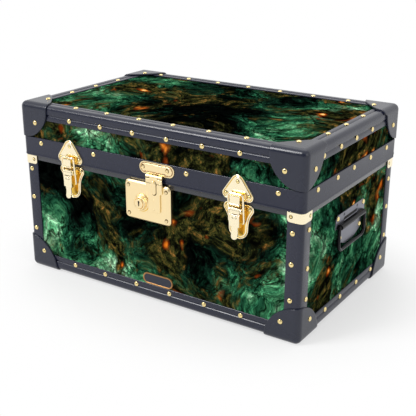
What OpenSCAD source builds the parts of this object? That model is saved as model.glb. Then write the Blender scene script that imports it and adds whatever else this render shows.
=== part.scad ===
// Tuck box: a plywood trunk with steel-capped corners, two draw-bolt catches and a lock.
// The origin is the middle of the footprint on the floor, the front faces -Y and +Z is up.

/* [Box] */
// Width over the side faces of the corner posts
box_w = 510; // [470:5:600]
// Depth over the front and back faces of the corner posts
box_d = 320; // [280:5:400]
// Height from the floor to the top face of the lid bindings
box_h = 285; // [260:5:340]
// Height of the lid, from its joint with the body to the top face of its bindings
lid_h = 81; // [78:1:100]
// How far the lid stands out past the body on each side
lid_out = 1; // [0.5:0.1:1.5]

/* [Sheets] */
// Thickness of the plywood panels
ply_t = 9; // [6:0.5:12]
// Thickness of the printed covering
cover_t = 0.5; // [0.3:0.1:0.8]
// Thickness of the lining sheets
lining_t = 0.6; // [0.4:0.1:1]

/* [Bindings] */
// Thickness of the edge bindings
bind_t = 2; // [1.6:0.1:2.4]
// Width of each leg of a binding
bind_leg = 24.5; // [22:0.5:30]
// Width of the raised bead along the edge of a binding
bead_w = 14; // [11:0.5:15]
// How far the nail strip of a binding lies below its bead
strip_drop = 0.6; // [0.3:0.1:0.9]
// Outer radius of the bindings
edge_r = 7; // [6:0.5:7]

/* [Caps and clips] */
// Thickness of the pressed corner caps
cap_t = 2.5; // [2:0.1:3]
// Gap between the lid caps and the band below them
cap_band_gap = 0.5; // [0.3:0.1:3]
// Reach of a lid cap along the end edge of the top face
lid_cap_reach_y = 63; // [56:1:70]
// Reach of a lid cap from the corner over the end face
lid_cap_end_reach = 54; // [48:0.5:57]
// Radius of the lid cap's lobe on the front face
lid_cap_round = 61.5; // [58:0.5:66]
// Reach of a base cap from the corner over the front face
base_cap_reach = 57.5; // [50:0.5:62]
// Reach of a base cap from the corner over the end face
base_cap_reach_y = 61; // [52:1:66]
// Width of a corner clip's legs
clip_leg = 24.5; // [20:0.5:28]
// Height of a corner clip
clip_h = 14.7; // [12:0.1:18]
// Thickness of a corner clip
clip_t = 1; // [0.6:0.1:1.4]

/* [Band and rim] */
// Height of the band above the joint
band_up = 26; // [22:1:30]
// Drop of the band below the joint
band_skirt = 5; // [3:0.5:7]
// Distance the band's face stands out past the post faces
band_out = 2; // [1.6:0.1:2.4]
// Outer corner radius of the band
band_r = 9; // [8:0.5:10]
// Height of the body's rim strip
rim_h = 10.7; // [9:0.1:13]
// Thickness of the rim strip
rim_t = 1.2; // [0.8:0.1:1.3]
// Gap between the closed lid and the trim on the body
lid_gap = 0.3; // [0.2:0.1:0.6]

/* [Nails and rivets] */
// Radius of a nail head
nail_r = 3.9; // [3:0.1:4.4]
// Height of a nail head
nail_h = 2.1; // [1.4:0.1:2.6]
// Distance of the nail rows from the edge of the box
nail_inset = 18; // [17.5:0.1:19]
// Spacing of the nails along the long edges of the lid
lid_pitch = 62; // [50:1:66]
// Spacing of the nails along the front and back base bindings
base_pitch = 64; // [50:1:68]
// Radius of the small rivet heads on the catches
rivet_r = 2.6; // [2:0.1:3]

/* [Catches] */
// Distance of each catch's middle from the end of the box
catch_in = 100.5; // [80:0.5:120]
// Width of the lever and of the hook
lever_w = 16; // [14:0.5:18]
// Drop of the lever pin below the joint
lever_drop = 17.5; // [16:0.5:20]
// Radius of the lever pin
lever_pin_r = 1.5; // [1.2:0.1:1.8]
// Outer radius of the lever's barrel
lever_barrel_r = 4.7; // [4.2:0.1:5]
// Drop from the lever pin to the loop's pivot
loop_drop = 18.5; // [16:0.5:20]
// Height of the loop's top bar above the joint
loop_rise = 7; // [6:0.5:9]
// Wire radius of the loop
loop_wire_r = 1.6; // [1.2:0.1:1.8]
// Gap between the loop's bar and the hook that it pulls on
hook_gap = 0.2; // [0.15:0.05:0.5]
// Side gap between the lever, the ears and the loop
catch_play = 0.3; // [0.2:0.05:0.4]
// Thickness of the catch's base plate
catch_base_t = 3; // [2.4:0.1:3.4]
// Thickness of the strike plate
strike_t = 2; // [1.4:0.1:2.4]

/* [Lock and hasp] */
// Sideways place of the middle of the lock case
lock_x = -1.75; // [-6:0.25:6]
// Width of the lock case
lock_w = 80; // [76:1:90]
// Height of the lock case
lock_h = 57; // [52:1:60]
// Drop of the lock case's top below the joint
lock_drop = 10; // [8:0.5:14]
// Depth of the lock case
lock_t = 8; // [7.5:0.1:9]
// Wall of the lock case
lock_wall = 1; // [0.8:0.1:1.2]
// Distance of the key from the hasp's middle line
key_side = 24.5; // [23:0.5:27]
// Drop of the key below the joint
key_drop = 40; // [38:1:44]
// Radius of the turning key plug
plug_r = 7.5; // [7:0.1:8]
// How far the key plug stands out of the lock case
plug_out = 7; // [5:0.5:8]
// Travel of the lock bolt
bolt_travel = 7; // [6:0.1:7]
// Sideways place of the hasp
hasp_x = 12.5; // [10:0.5:15]
// Width of the hasp
hasp_w = 30; // [27:0.5:34]
// Width of the hasp's lower tongue
hasp_tongue_w = 22; // [20:0.5:24]
// Thickness of the hasp
hasp_t = 2; // [1.6:0.1:2.4]
// Height of the hasp's hinge pin above the joint
hasp_rise = 4.5; // [4:0.1:5]
// Radius of the hasp's hinge pin
hasp_pin_r = 1.3; // [1:0.1:1.5]
// Outer radius of the hasp's knuckles
hasp_knuckle_r = 2.6; // [2.4:0.1:2.8]
// Drop of the hasp's lower end below the joint
hasp_drop = 51; // [49:1:56]
// Width of the hasp plate on the lid
hasp_plate_w = 63; // [58:1:70]
// Height of the hasp plate on the lid
hasp_plate_h = 17.5; // [16:0.5:18]

/* [Badge] */
// Sideways place of the badge
badge_x = 10; // [0:1:20]
// Gap between the badge and the base binding below it
badge_gap = 0.6; // [0.4:0.1:8]
// Length of the badge
badge_w = 57; // [48:1:64]
// Height of the badge
badge_h = 19; // [16:0.5:20]

/* [Handles] */
// Drop of the handle's barrel below the joint
handle_drop = 62.7; // [54:0.1:80]
// Sideways place of the handles along the box's ends
handle_y = 0; // [-10:1:10]
// Width of the handle plate's top strip
handle_strip_w = 103; // [100:1:120]
// Distance between the middles of the bail's legs
bail_w = 91.5; // [88:0.5:94]
// Drop of the bail below its barrel
bail_drop = 36.8; // [34:0.2:40]
// Radius of the bail's bar
bail_r = 2.75; // [2.2:0.05:3]
// Outer radius of the handle's barrel
barrel_r = 4.2; // [4:0.1:4.8]

/* [Hinges] */
// Distance of each hinge's middle from the end of the box
hinge_in = 100; // [80:1:140]
// Width of a hinge
hinge_w = 50; // [40:1:60]
// Thickness of a hinge leaf
leaf_t = 1.8; // [1.4:0.1:2]
// Radius of the hinge pins
hinge_pin_r = 1.6; // [1.2:0.1:1.8]
// Outer radius of the hinge knuckles
knuckle_r = 3.25; // [3:0.05:3.4]
// Distance of the hinge pins behind the back faces of the posts
hinge_out = 5.5; // [5.3:0.1:6]

/* [Hidden] */
$fn = 48;

// Colours, as the photograph shows them
binding_colour = "#2b2f3a";
print_colour = "#123f2e";
brass_colour = "#d8b45a";
gold_colour = "#d9c08a";
steel_colour = "#22252b";
ply_colour = "#b48a57";
lining_colour = "#2a2a2e";

// The box's half sizes and levels
half_w = box_w / 2;
half_d = box_d / 2;
joint_z = box_h - lid_h;
skin = bind_t + cover_t;
body_x = half_w - skin;
body_y = half_d - skin;
base_z = cap_t + skin;
lid_x = body_x + lid_out;
lid_y = body_y + lid_out;
lid_top_z = box_h - skin;
cap_x = half_w + lid_out + cap_t;
cap_y = half_d + lid_out + cap_t;
front = body_y + cover_t;
end = body_x + cover_t;
band_face = half_d + band_out;
lid_cap_reach = lid_h + cap_t - band_up - cap_band_gap;
catch_x = half_w - catch_in;
lever_pin_z = joint_z - lever_drop;
loop_bar_z = joint_z + loop_rise;
lock_top_z = joint_z - lock_drop;
key_z = joint_z - key_drop;
hasp_pin_z = joint_z + hasp_rise;
hasp_end_z = joint_z - hasp_drop;
handle_z = joint_z - handle_drop;
hinge_x = half_w - hinge_in;
badge_z = cap_t + bind_leg + badge_gap + badge_h / 2;
far = 2 * box_w;
eps = 0.02;
running = 0.05;

// Places of the rows that are uneven on the real box, from the middle of the box
top_row_shift = -12;
end_row_lid = [-107, -52, 1, 59];
end_row_top = [-60, 1, 62];
end_row_band = [-124, -61, -5, 56, 120];
end_row_base = [-73, -21, 40, 98];
front_row_band = [-217, -107, 67, 217];
back_row_band = [-217, -70, 70, 217];
// Post nails, as [distance in from the corner, height]: the upper one is measured down from
// the joint, the middle one is a share of the post, and the lower one is above the base cap
front_left_post = [[11.5, 29], [11.5, 0.4676], [11.5, 12.5]];
front_right_post = [[15.5, 36], [15.5, 0.4403], [15.5, 9.5]];
end_front_post = [[19, 33], [19, 0.3788], [19, 8.5]];
end_back_post = [[15, 39], [15, 0.4061], [15, 8.5]];
base_cap_nail_in = 30;
base_cap_nail_z = 32;

// Moves a drawing in X and Z onto a face that looks forwards, thickness outwards
module on_front(level) {
  translate([0, -level, 0])
    rotate([90, 0, 0])
      children();
}

// The same on a face that looks back, with the drawing's X mirrored
module on_back(level) {
  mirror([0, 1, 0])
    on_front(level)
      children();
}

// Moves a drawing in Y and Z onto the right end, or its mirror image onto the left end
module on_end(side, level) {
  mirror([side < 0 ? 1 : 0, 0, 0])
    translate([level, 0, 0])
      rotate([90, 0, 90])
        children();
}

// Repeats a part of the front left corner at all four corners
module at_corners() {
  for (mx = [0, 1], my = [0, 1])
    mirror([mx, 0, 0])
      mirror([0, my, 0])
        children();
}

module rounded_rect(w, h, r) {
  square([w - 2 * r, h], center = true);
  square([w, h - 2 * r], center = true);
  for (sx = [-1, 1], sy = [-1, 1])
    translate([sx * (w / 2 - r), sy * (h / 2 - r)])
      circle(r);
}

// A quarter plane from (o, o) upwards whose corner is rounded
module corner_area(o, r, s) {
  translate([o + r, o])
    square([s - r, s]);
  translate([o, o + r])
    square([s, s - r]);
  translate([o + r, o + r])
    circle(r);
}

// Section of an edge binding: a beaded corner and two lower nail strips
module binding_section() {
  difference() {
    union() {
      intersection() {
        corner_area(0, edge_r, bind_leg);
        square(bead_w);
      }
      intersection() {
        corner_area(strip_drop, edge_r, 2 * bind_leg);
        square(bind_leg);
      }
    }
    corner_area(bind_t, 1.5, 2 * bind_leg);
  }
}

// Section of a corner post: two flat legs round a rounded edge
module post_section() {
  difference() {
    intersection() {
      corner_area(0, edge_r, 2 * bind_leg);
      square(bind_leg);
    }
    corner_area(bind_t, 1.5, 2 * bind_leg);
  }
}

// The space outside three rounded faces that meet in a corner at the origin
module corner_space(o, r, s) {
  intersection() {
    translate([0, 0, o])
      linear_extrude(s)
        corner_area(o, r, s);
    translate([o, 0, 0])
      rotate([90, 0, 90])
        linear_extrude(s)
          corner_area(o, r, s);
    translate([0, o + s, 0])
      rotate([90, 0, 0])
        linear_extrude(s)
          corner_area(o, r, s);
  }
}

// A domed head that stands on the XY plane
module dome(r, h) {
  ball_r = (r * r + h * h) / (2 * h);
  intersection() {
    translate([0, 0, h - ball_r])
      sphere(ball_r);
    cylinder(r = r + 1, h = h + 1);
  }
}

module nail_head() {
  dome(nail_r, nail_h);
}

// A screw with a domed head and a straight slot
module slotted_head(r, h) {
  difference() {
    dome(r, h);
    translate([-r, -0.35, h - 0.7])
      cube([2 * r, 0.7, 1]);
  }
}

module along_x(length, r) {
  rotate([0, 90, 0])
    cylinder(r = r, h = length, center = true);
}

module along_y(length, r) {
  rotate([90, 0, 0])
    cylinder(r = r, h = length, center = true);
}

// Body panels
module body_wall_front() {
  translate([-body_x, -body_y, base_z])
    cube([2 * body_x, ply_t, joint_z - base_z]);
}

module body_front_panel() {
  color(ply_colour)
    body_wall_front();
}

module body_back_panel() {
  color(ply_colour)
    mirror([0, 1, 0])
      body_wall_front();
}

module body_wall_end() {
  translate([-body_x, ply_t - body_y, base_z])
    cube([ply_t, 2 * (body_y - ply_t), joint_z - base_z]);
}

module body_left_panel() {
  color(ply_colour)
    body_wall_end();
}

module body_right_panel() {
  color(ply_colour)
    mirror([1, 0, 0])
      body_wall_end();
}

module floor_panel() {
  color(ply_colour)
    translate([ply_t - body_x, ply_t - body_y, base_z])
      cube([2 * (body_x - ply_t), 2 * (body_y - ply_t), ply_t]);
}

// Printed sheets stop short of the box's edges, where the bindings hide their ends
sheet_in = edge_r / 2;

module body_covering() {
  sheet_h = joint_z - base_z - sheet_in - lid_gap;
  color(print_colour) {
    for (side = [0, 1]) {
      mirror([0, side, 0])
        translate([sheet_in - body_x, -front, base_z + sheet_in])
          cube([2 * (body_x - sheet_in), cover_t, sheet_h]);
      mirror([side, 0, 0])
        translate([-end, sheet_in - body_y, base_z + sheet_in])
          cube([cover_t, 2 * (body_y - sheet_in), sheet_h]);
    }
    translate([sheet_in - body_x, sheet_in - body_y, base_z - cover_t])
      cube([2 * (body_x - sheet_in), 2 * (body_y - sheet_in), cover_t]);
  }
}

// An open box of thin sheet, with its closed face at the low end
module lining_tray(x, y, depth) {
  difference() {
    translate([-x, -y, 0])
      cube([2 * x, 2 * y, depth]);
    translate([lining_t - x, lining_t - y, lining_t])
      cube([2 * (x - lining_t), 2 * (y - lining_t), depth]);
  }
}

module body_lining() {
  color(lining_colour)
    translate([0, 0, base_z + ply_t])
      lining_tray(body_x - ply_t, body_y - ply_t, joint_z - base_z - ply_t - lid_gap);
}

// Bindings
post_foot_z = cap_t + bind_leg;
rim_low_z = joint_z - lid_gap - rim_h;

module post_bindings() {
  color(binding_colour)
    at_corners()
      translate([-half_w, -half_d, post_foot_z])
        linear_extrude(rim_low_z - post_foot_z)
          post_section();
}

module base_bindings_long() {
  color(binding_colour)
    for (side = [0, 1])
      mirror([0, side, 0])
        translate([-half_w + edge_r, -half_d, cap_t])
          rotate([90, 0, 90])
            linear_extrude(box_w - 2 * edge_r)
              binding_section();
}

module base_bindings_short() {
  color(binding_colour)
    for (side = [0, 1])
      mirror([side, 0, 0])
        translate([-half_w, half_d - bind_leg, cap_t])
          rotate([90, 0, 0])
            linear_extrude(box_d - 2 * bind_leg)
              binding_section();
}

module lid_bindings_long() {
  color(binding_colour)
    for (side = [0, 1])
      mirror([0, side, 0])
        translate([-half_w + edge_r, -half_d - lid_out, box_h])
          mirror([0, 0, 1])
            rotate([90, 0, 90])
              linear_extrude(box_w - 2 * edge_r)
                binding_section();
}

module lid_bindings_short() {
  color(binding_colour)
    for (side = [0, 1])
      mirror([side, 0, 0])
        translate([-half_w - lid_out, half_d + lid_out - bind_leg, box_h])
          mirror([0, 0, 1])
            rotate([90, 0, 0])
              linear_extrude(box_d + 2 * lid_out - 2 * bind_leg)
                binding_section();
}

// A round lobe of a cap, drawn from the cap's own corner
module cap_lobe(reach, sunk) {
  intersection() {
    translate([0, -sunk])
      circle(reach);
    square(2 * reach);
  }
}

// The lobe of a lid cap on the front face, cut straight above the band
module front_lobe() {
  intersection() {
    circle(lid_cap_round);
    square(lid_cap_reach);
  }
}

// The lobe of a lid cap on the end face
module end_lobe() {
  scale([lid_cap_end_reach / lid_cap_reach, 1])
    cap_lobe(lid_cap_reach, 0);
}

// The lobe of a lid cap on the top face, with its inner corner cut off
module top_lobe() {
  cut = 14;
  intersection() {
    polygon([
      [0, 0], [lid_cap_reach, 0], [lid_cap_reach, cut], [cut, lid_cap_reach_y], [0, lid_cap_reach_y]
    ]);
    circle(lid_cap_reach_y - 2);
  }
}

// A pressed cap with a lobe on each of three faces, for a corner at the origin
module corner_cap(reach_x, reach_y, sunk_y, lid) {
  difference() {
    corner_space(-cap_t, edge_r + cap_t, reach_x + reach_y);
    corner_space(0, edge_r, reach_x + reach_y);
    // everything past the three lobes
    difference() {
      translate([-2 * cap_t, -2 * cap_t, -2 * cap_t])
        cube(2 * (reach_x + reach_y));
      translate([-cap_t, -cap_t, -cap_t]) {
        linear_extrude(edge_r)
          if (lid)
            top_lobe();
          else
            cap_lobe(reach_x, 0);
        translate([0, edge_r, 0])
          rotate([90, 0, 0])
            linear_extrude(edge_r)
              if (lid)
                front_lobe();
              else
                cap_lobe(reach_x, 0);
        rotate([90, 0, 90])
          linear_extrude(edge_r)
            if (lid)
              end_lobe();
            else
              cap_lobe(reach_y, sunk_y);
      }
    }
  }
}

base_cap_sunk = base_cap_reach_y - base_cap_reach;

module base_caps() {
  color(binding_colour)
    at_corners()
      translate([-half_w, -half_d, cap_t])
        corner_cap(base_cap_reach, base_cap_reach_y, base_cap_sunk, false);
}

module lid_caps() {
  color(binding_colour)
    at_corners()
      translate([-half_w - lid_out, -half_d - lid_out, box_h])
        mirror([0, 0, 1])
          corner_cap(lid_cap_reach, lid_cap_reach, 0, true);
}

// Rim strip, clips and band
rim_y = front + rim_t;
rim_x = end + rim_t;
rim_r = 4;

module rim_strip() {
  color(steel_colour)
    translate([0, 0, rim_low_z])
      linear_extrude(rim_h)
        difference() {
          rounded_rect(2 * rim_x, 2 * rim_y, rim_r);
          rounded_rect(2 * end, 2 * front, 1.2);
        }
}

clip_top_z = joint_z - band_skirt - lid_gap;
clip_in_r = edge_r - 1;

// A clip's leg drawn from its corner, with a rounded lower end
module clip_leg_area() {
  low_r = clip_h / 3;
  square([clip_leg - low_r, clip_h]);
  translate([0, low_r])
    square([clip_leg, clip_h - low_r]);
  translate([clip_leg - low_r, low_r])
    circle(low_r);
}

module corner_clips() {
  color(brass_colour)
    at_corners()
      translate([-half_w, -half_d, clip_top_z - clip_h])
        intersection() {
          linear_extrude(clip_h)
            difference() {
              corner_area(-clip_t, clip_in_r + clip_t, 2 * clip_leg);
              corner_area(0, clip_in_r, 2 * clip_leg);
            }
          union() {
            translate([0, edge_r, 0])
              rotate([90, 0, 0])
                linear_extrude(2 * edge_r)
                  clip_leg_area();
            translate([-edge_r, 0, 0])
              rotate([90, 0, 90])
                linear_extrude(2 * edge_r)
                  clip_leg_area();
            translate([-2 * clip_t, -2 * clip_t, 0])
              cube([edge_r, edge_r, clip_h]);
          }
        }
}

module lid_band() {
  band_w = 2 * (half_w + band_out);
  band_d = 2 * band_face;
  skirt_x = rim_x + lid_gap;
  skirt_y = rim_y + lid_gap;
  skirt_r = rim_r + lid_gap;
  color(binding_colour) {
    difference() {
      union() {
        translate([0, 0, joint_z])
          linear_extrude(band_up)
            rounded_rect(band_w, band_d, band_r);
        intersection() {
          translate([0, 0, joint_z - band_skirt])
            linear_extrude(band_skirt + 1)
              rounded_rect(band_w, band_d, band_r);
          translate([-far, -far, 0])
            cube([2 * far, far + skirt_y - skirt_r, far]);
        }
      }
      translate([0, 0, joint_z])
        linear_extrude(2 * band_up)
          rounded_rect(2 * (lid_x + cover_t), 2 * (lid_y + cover_t), 1.5);
      translate([0, 0, joint_z - 2 * band_skirt])
        linear_extrude(2 * band_skirt + eps)
          rounded_rect(2 * skirt_x, 2 * skirt_y, skirt_r);
    }
  }
}

// Nails
module end_row(places, z, level) {
  for (side = [-1, 1], y = places)
    on_end(side, level)
      translate([y, z])
        nail_head();
}

// The three nails of a post, in a drawing whose X is the distance in from the corner
module post_row(places) {
  translate([places[0][0], joint_z - places[0][1]])
    nail_head();
  translate([places[1][0], base_cap_reach + places[1][1] * (joint_z - base_cap_reach)])
    nail_head();
  translate([places[2][0], base_cap_reach + places[2][1]])
    nail_head();
}

module body_nails() {
  strip = half_d - strip_drop;
  color(brass_colour) {
    for (back = [0, 1])
      mirror([0, back, 0]) {
        on_front(strip)
          for (i = [-2.5:2.5])
            translate([i * base_pitch, cap_t + nail_inset])
              nail_head();
        on_front(half_d + cap_t)
          for (side = [-1, 1])
            translate([side * (half_w - base_cap_nail_in + 2), base_cap_nail_z])
              nail_head();
        on_front(half_d) {
          translate([-half_w, 0])
            post_row(front_left_post);
          mirror([1, 0])
            translate([-half_w, 0])
              post_row(front_right_post);
        }
        on_front(half_d + clip_t)
          for (side = [-1, 1])
            translate([side * (half_w - clip_leg * 0.75), clip_top_z - clip_h * 0.45])
              dome(rivet_r * 0.75, 1.1);
      }
    end_row(end_row_base, cap_t + nail_inset, half_w - strip_drop);
    end_row([base_cap_nail_in - half_d, half_d - base_cap_nail_in], base_cap_nail_z - 1,
            half_w + cap_t);
    for (side = [-1, 1])
      on_end(side, half_w) {
        translate([-half_d, 0])
          post_row(end_front_post);
        mirror([1, 0])
          translate([-half_d, 0])
            post_row(end_back_post);
      }
    for (side = [-1, 1], near = [-1, 1])
      on_end(side, half_w + clip_t)
        translate([near * (half_d - clip_leg * 0.75), clip_top_z - clip_h * 0.45])
          dome(rivet_r * 0.75, 1.1);
  }
}

module lid_nails() {
  row_z = box_h - nail_inset;
  top = box_h - strip_drop;
  row_y = half_d + lid_out - nail_inset;
  row_x = half_w + lid_out - nail_inset;
  cap_in = 31;
  cap_end_in = 22.5;
  cap_end_drop = 28;
  band_z = joint_z + band_up - 6;
  band_front_z = band_z - 2;
  color(brass_colour) {
    for (back = [0, 1])
      mirror([0, back, 0]) {
        on_front(half_d + lid_out - strip_drop)
          for (i = [-2.5:2.5])
            translate([i * lid_pitch, row_z])
              nail_head();
        on_front(cap_y)
          for (side = [-1, 1])
            translate([side * (half_w - cap_in + 2), box_h - cap_in + 1])
              nail_head();
      }
    on_front(band_face)
      for (x = front_row_band)
        translate([x, band_front_z])
          nail_head();
    on_back(band_face)
      for (x = back_row_band)
        translate([x, band_z])
          nail_head();
    for (i = [-2.5:2.5])
      translate([i * lid_pitch, -row_y, top])
        nail_head();
    for (i = [-3:3])
      translate([i * (lid_pitch + 1) + top_row_shift, row_y, top])
        nail_head();
    for (side = [-1, 1], y = end_row_top)
      translate([side * row_x, y, top])
        nail_head();
    for (sx = [-1, 1], sy = [-1, 1])
      translate([sx * (cap_x - cap_in), sy * (cap_y - cap_in - 4), box_h + cap_t])
        nail_head();
    end_row(end_row_lid, row_z, half_w + lid_out - strip_drop);
    end_row([cap_end_in - half_d, half_d - cap_end_in], box_h - cap_end_drop, cap_x);
    end_row(end_row_band, band_z, half_w + band_out);
  }
}

// Badge
module badge_frame() {
  color(brass_colour)
    on_front(front)
      translate([badge_x, badge_z])
        linear_extrude(1.8)
          difference() {
            rounded_rect(badge_w, badge_h, badge_h / 2 - eps);
            rounded_rect(badge_w - 2.6, badge_h - 2.6, badge_h / 2 - 1.3 - eps);
          }
}

module badge_field() {
  color("#181a20")
    on_front(front)
      translate([badge_x, badge_z])
        linear_extrude(1.2)
          rounded_rect(badge_w - 2.6, badge_h - 2.6, badge_h / 2 - 1.3 - eps);
}

// Cuts a plate back where it laps over the rim strip
module rim_notch() {
  translate([-far, -rim_y - eps, rim_low_z - eps])
    cube([2 * far, rim_t + 1, rim_h]);
}

// Lock
lock_z = lock_top_z - lock_h / 2;
lock_face = front + lock_t;
key_x = hasp_x - key_side;
collar_face = lock_face + plug_out;
bolt_h = 13;
bolt_z = key_z - 2;
cam_t = 1.6;
cam_pin_r = 1.2;
cam_r = plug_r + 1;
cam_arm = bolt_travel / sqrt(2);
cam_face = lock_face - lock_wall - 0.3;
bolt_face = cam_face - cam_t - 0.3;
tip_z = key_z + 1;
tip_h = 3;
staple_t = 2.4;
staple_hole = 4;
slot_play = 1.2;
lock_bevel = 2.2;
screw_x = lock_w / 2 - 5;
screw_z = lock_h / 2 - 6;

module lock_case() {
  lap = 4;
  guide_t = 1.8;
  color(gold_colour)
    difference() {
      union() {
        difference() {
          on_front(front)
            translate([lock_x, lock_z])
              hull() {
                linear_extrude(lock_t - lock_bevel)
                  rounded_rect(lock_w + 2 * lock_bevel, lock_h + 2 * lock_bevel, 7);
                linear_extrude(lock_t)
                  rounded_rect(lock_w, lock_h, 5);
              }
          on_front(front)
            translate([lock_x, lock_z, -1])
              linear_extrude(lock_t - lock_wall + 1)
                rounded_rect(lock_w - 1, lock_h - 1, 4);
        }
        for (side = [-1, 1])
          translate([key_x - 10, -lock_face + lock_wall / 2, bolt_z - guide_t / 2])
            translate([0, 0, side * (bolt_h + guide_t + 0.6) / 2])
              cube([18, lock_t - lock_wall / 2, guide_t]);
        // bosses that take the screws
        for (sx = [-1, 1], sz = [-1, 1])
          on_front(front)
            translate([lock_x + sx * screw_x, lock_z + sz * screw_z])
              cylinder(r = lap, h = lock_t - lock_wall / 2);
      }
      on_front(front)
        translate([key_x, key_z, -1])
          cylinder(r = plug_r + running, h = lock_t + 2);
      // room for the cam in the upper guide
      on_front(bolt_face)
        translate([key_x, key_z])
          cylinder(r = cam_r + 0.3, h = lock_face - lock_wall - bolt_face);
      translate([hasp_x - staple_t / 2 - slot_play / 2, -lock_face - 1, staple_low_z - slot_play])
        cube([staple_t + slot_play, lock_wall + 2, staple_high_z - staple_low_z + 2 * slot_play]);
      rim_notch();
    }
}

module lock_screws() {
  color(gold_colour)
    for (sx = [-1, 1], sz = [-1, 1])
      on_front(lock_face)
        translate([lock_x + sx * screw_x, lock_z + sz * screw_z])
          slotted_head(3.2, 1.3);
}

module key_collar() {
  color(gold_colour)
    on_front(lock_face)
      translate([key_x, key_z])
        rotate_extrude()
          polygon([
            [plug_r + running, 0], [13.5, 0], [13.5, 1.2], [12.6, 2], [11.4, 2.4],
            [10.4, plug_out - 0.6], [9.6, plug_out], [plug_r + running, plug_out]
          ]);
}

// The plug turns in its collar; its cam and pin drive the bolt
module key_plug() {
  color(gold_colour)
    translate([key_x, 0, key_z]) {
      difference() {
        on_front(cam_face - eps)
          cylinder(r = plug_r, h = collar_face + 0.6 - cam_face);
        on_front(collar_face + 0.6 - 5)
          linear_extrude(6) {
            translate([0, 2.4])
              circle(1.8);
            polygon([[-1.5, 2.4], [1.5, 2.4], [0.8, -4], [-0.8, -4]]);
          }
      }
      on_front(bolt_face + 0.3)
        cylinder(r = cam_r, h = cam_t);
      on_front(front + 0.5)
        translate([-cam_arm / sqrt(2), -cam_arm / sqrt(2)])
          cylinder(r = cam_pin_r, h = cam_face - front - 0.7);
    }
}

module lock_bolt() {
  pin_x = key_x - cam_arm / sqrt(2);
  slot_w = 2 * cam_pin_r + 1;
  tip_x = hasp_x - staple_t / 2 - 0.9;
  color(steel_colour)
    difference() {
      union() {
        on_front(front + 0.3)
          translate([key_x - 9, bolt_z - bolt_h / 2])
            linear_extrude(bolt_face - front - 0.3)
              square([17, bolt_h]);
        on_front(bolt_face - 2.4)
          translate([key_x, tip_z - tip_h / 2])
            linear_extrude(2.4)
              square([tip_x - key_x, tip_h]);
      }
      on_front(front)
        translate([pin_x - slot_w / 2, key_z - cam_arm - cam_pin_r - 0.6])
          linear_extrude(lock_t)
            square([slot_w, cam_arm + cam_pin_r]);
    }
}

// Hasp, its staple and the plate that it hangs from
hasp_pin_y = band_face + hasp_t / 2 + hasp_knuckle_r;
hasp_back = lock_face + lid_gap;
staple_low_z = key_z - 9;
staple_high_z = key_z + 9.5;
staple_rivets = [key_z - 7.5, key_z + 8];
staple_rivet_r = 1;
hasp_low_w = hasp_w / 2 - 7.5;

module hasp_plate() {
  plate_z = hasp_pin_z + hasp_knuckle_r + 0.3 + hasp_plate_h / 2;
  web_w = hasp_w / 2 - hasp_low_w;
  color(gold_colour)
    difference() {
      union() {
        on_front(band_face)
          translate([hasp_x + 2.5, plate_z])
            hull() {
              linear_extrude(hasp_t * 0.6)
                rounded_rect(hasp_plate_w, hasp_plate_h, hasp_plate_h / 2 - eps);
              linear_extrude(hasp_t)
                rounded_rect(hasp_plate_w - 2, hasp_plate_h - 2, hasp_plate_h / 2 - 1 - eps);
            }
        for (side = [-1, 1])
          translate([hasp_x + side * (hasp_low_w + web_w / 2 + 0.15), 0, 0]) {
            translate([0, -hasp_pin_y, hasp_pin_z])
              along_x(web_w - 0.3, hasp_knuckle_r);
            translate([0.15 - web_w / 2, -hasp_pin_y, hasp_pin_z - 1])
              cube([web_w - 0.3, hasp_pin_y - band_face, hasp_knuckle_r + 3]);
          }
      }
      translate([hasp_x, -hasp_pin_y, hasp_pin_z])
        along_x(2 * hasp_w, hasp_pin_r + eps);
    }
}

module hasp() {
  blend_z = hasp_pin_z - 25.5;
  color(gold_colour)
    difference() {
      union() {
        on_front(hasp_back)
          linear_extrude(hasp_t) {
            translate([hasp_x - hasp_low_w + 0.15, hasp_pin_z - hasp_knuckle_r - 3])
              square([2 * hasp_low_w - 0.3, hasp_knuckle_r + 3]);
            translate([hasp_x, (blend_z + hasp_pin_z - hasp_knuckle_r - 0.4) / 2])
              rounded_rect(hasp_w, hasp_pin_z - hasp_knuckle_r - 0.4 - blend_z, 3.5);
            translate([hasp_x, (hasp_end_z + blend_z + 6) / 2])
              rounded_rect(hasp_tongue_w, blend_z + 6 - hasp_end_z, 4);
          }
        // raised rib down the hasp
        on_front(hasp_back + hasp_t - eps)
          translate([hasp_x + 0.5, hasp_pin_z - 17.5])
            linear_extrude(0.9)
              rounded_rect(8, 21, 3.9);
        translate([hasp_x, -hasp_pin_y, hasp_pin_z])
          along_x(2 * hasp_low_w - 0.3, hasp_knuckle_r);
      }
      translate([hasp_x, -hasp_pin_y, hasp_pin_z])
        along_x(2 * hasp_w, hasp_pin_r + running);
      on_front(hasp_back + hasp_t - 0.8)
        translate([hasp_x + 2.2, hasp_pin_z - 11])
          cylinder(r = 1.4, h = 3);
      for (z = staple_rivets)
        on_front(hasp_back - 1)
          translate([hasp_x, z])
            cylinder(r = staple_rivet_r + eps, h = hasp_t + 2);
    }
}

module hasp_staple() {
  deep = hasp_back - front - 0.8;
  color(gold_colour)
    difference() {
      union() {
        on_end(1, hasp_x - staple_t / 2)
          linear_extrude(staple_t)
            translate([-hasp_back, staple_low_z])
              square([deep, staple_high_z - staple_low_z]);
        // two rivets hold it through the hasp, and their heads show on its face
        for (z = staple_rivets) {
          on_front(hasp_back - eps)
            translate([hasp_x, z])
              cylinder(r = staple_rivet_r, h = hasp_t + 2 * eps);
          on_front(hasp_back + hasp_t)
            translate([hasp_x, z])
              dome(staple_rivet_r + 0.6, 0.6);
        }
      }
      on_end(1, hasp_x - staple_t)
        linear_extrude(2 * staple_t)
          translate([-bolt_face - 0.4, tip_z - staple_hole / 2])
            square([3.2, staple_hole]);
    }
}

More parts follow.
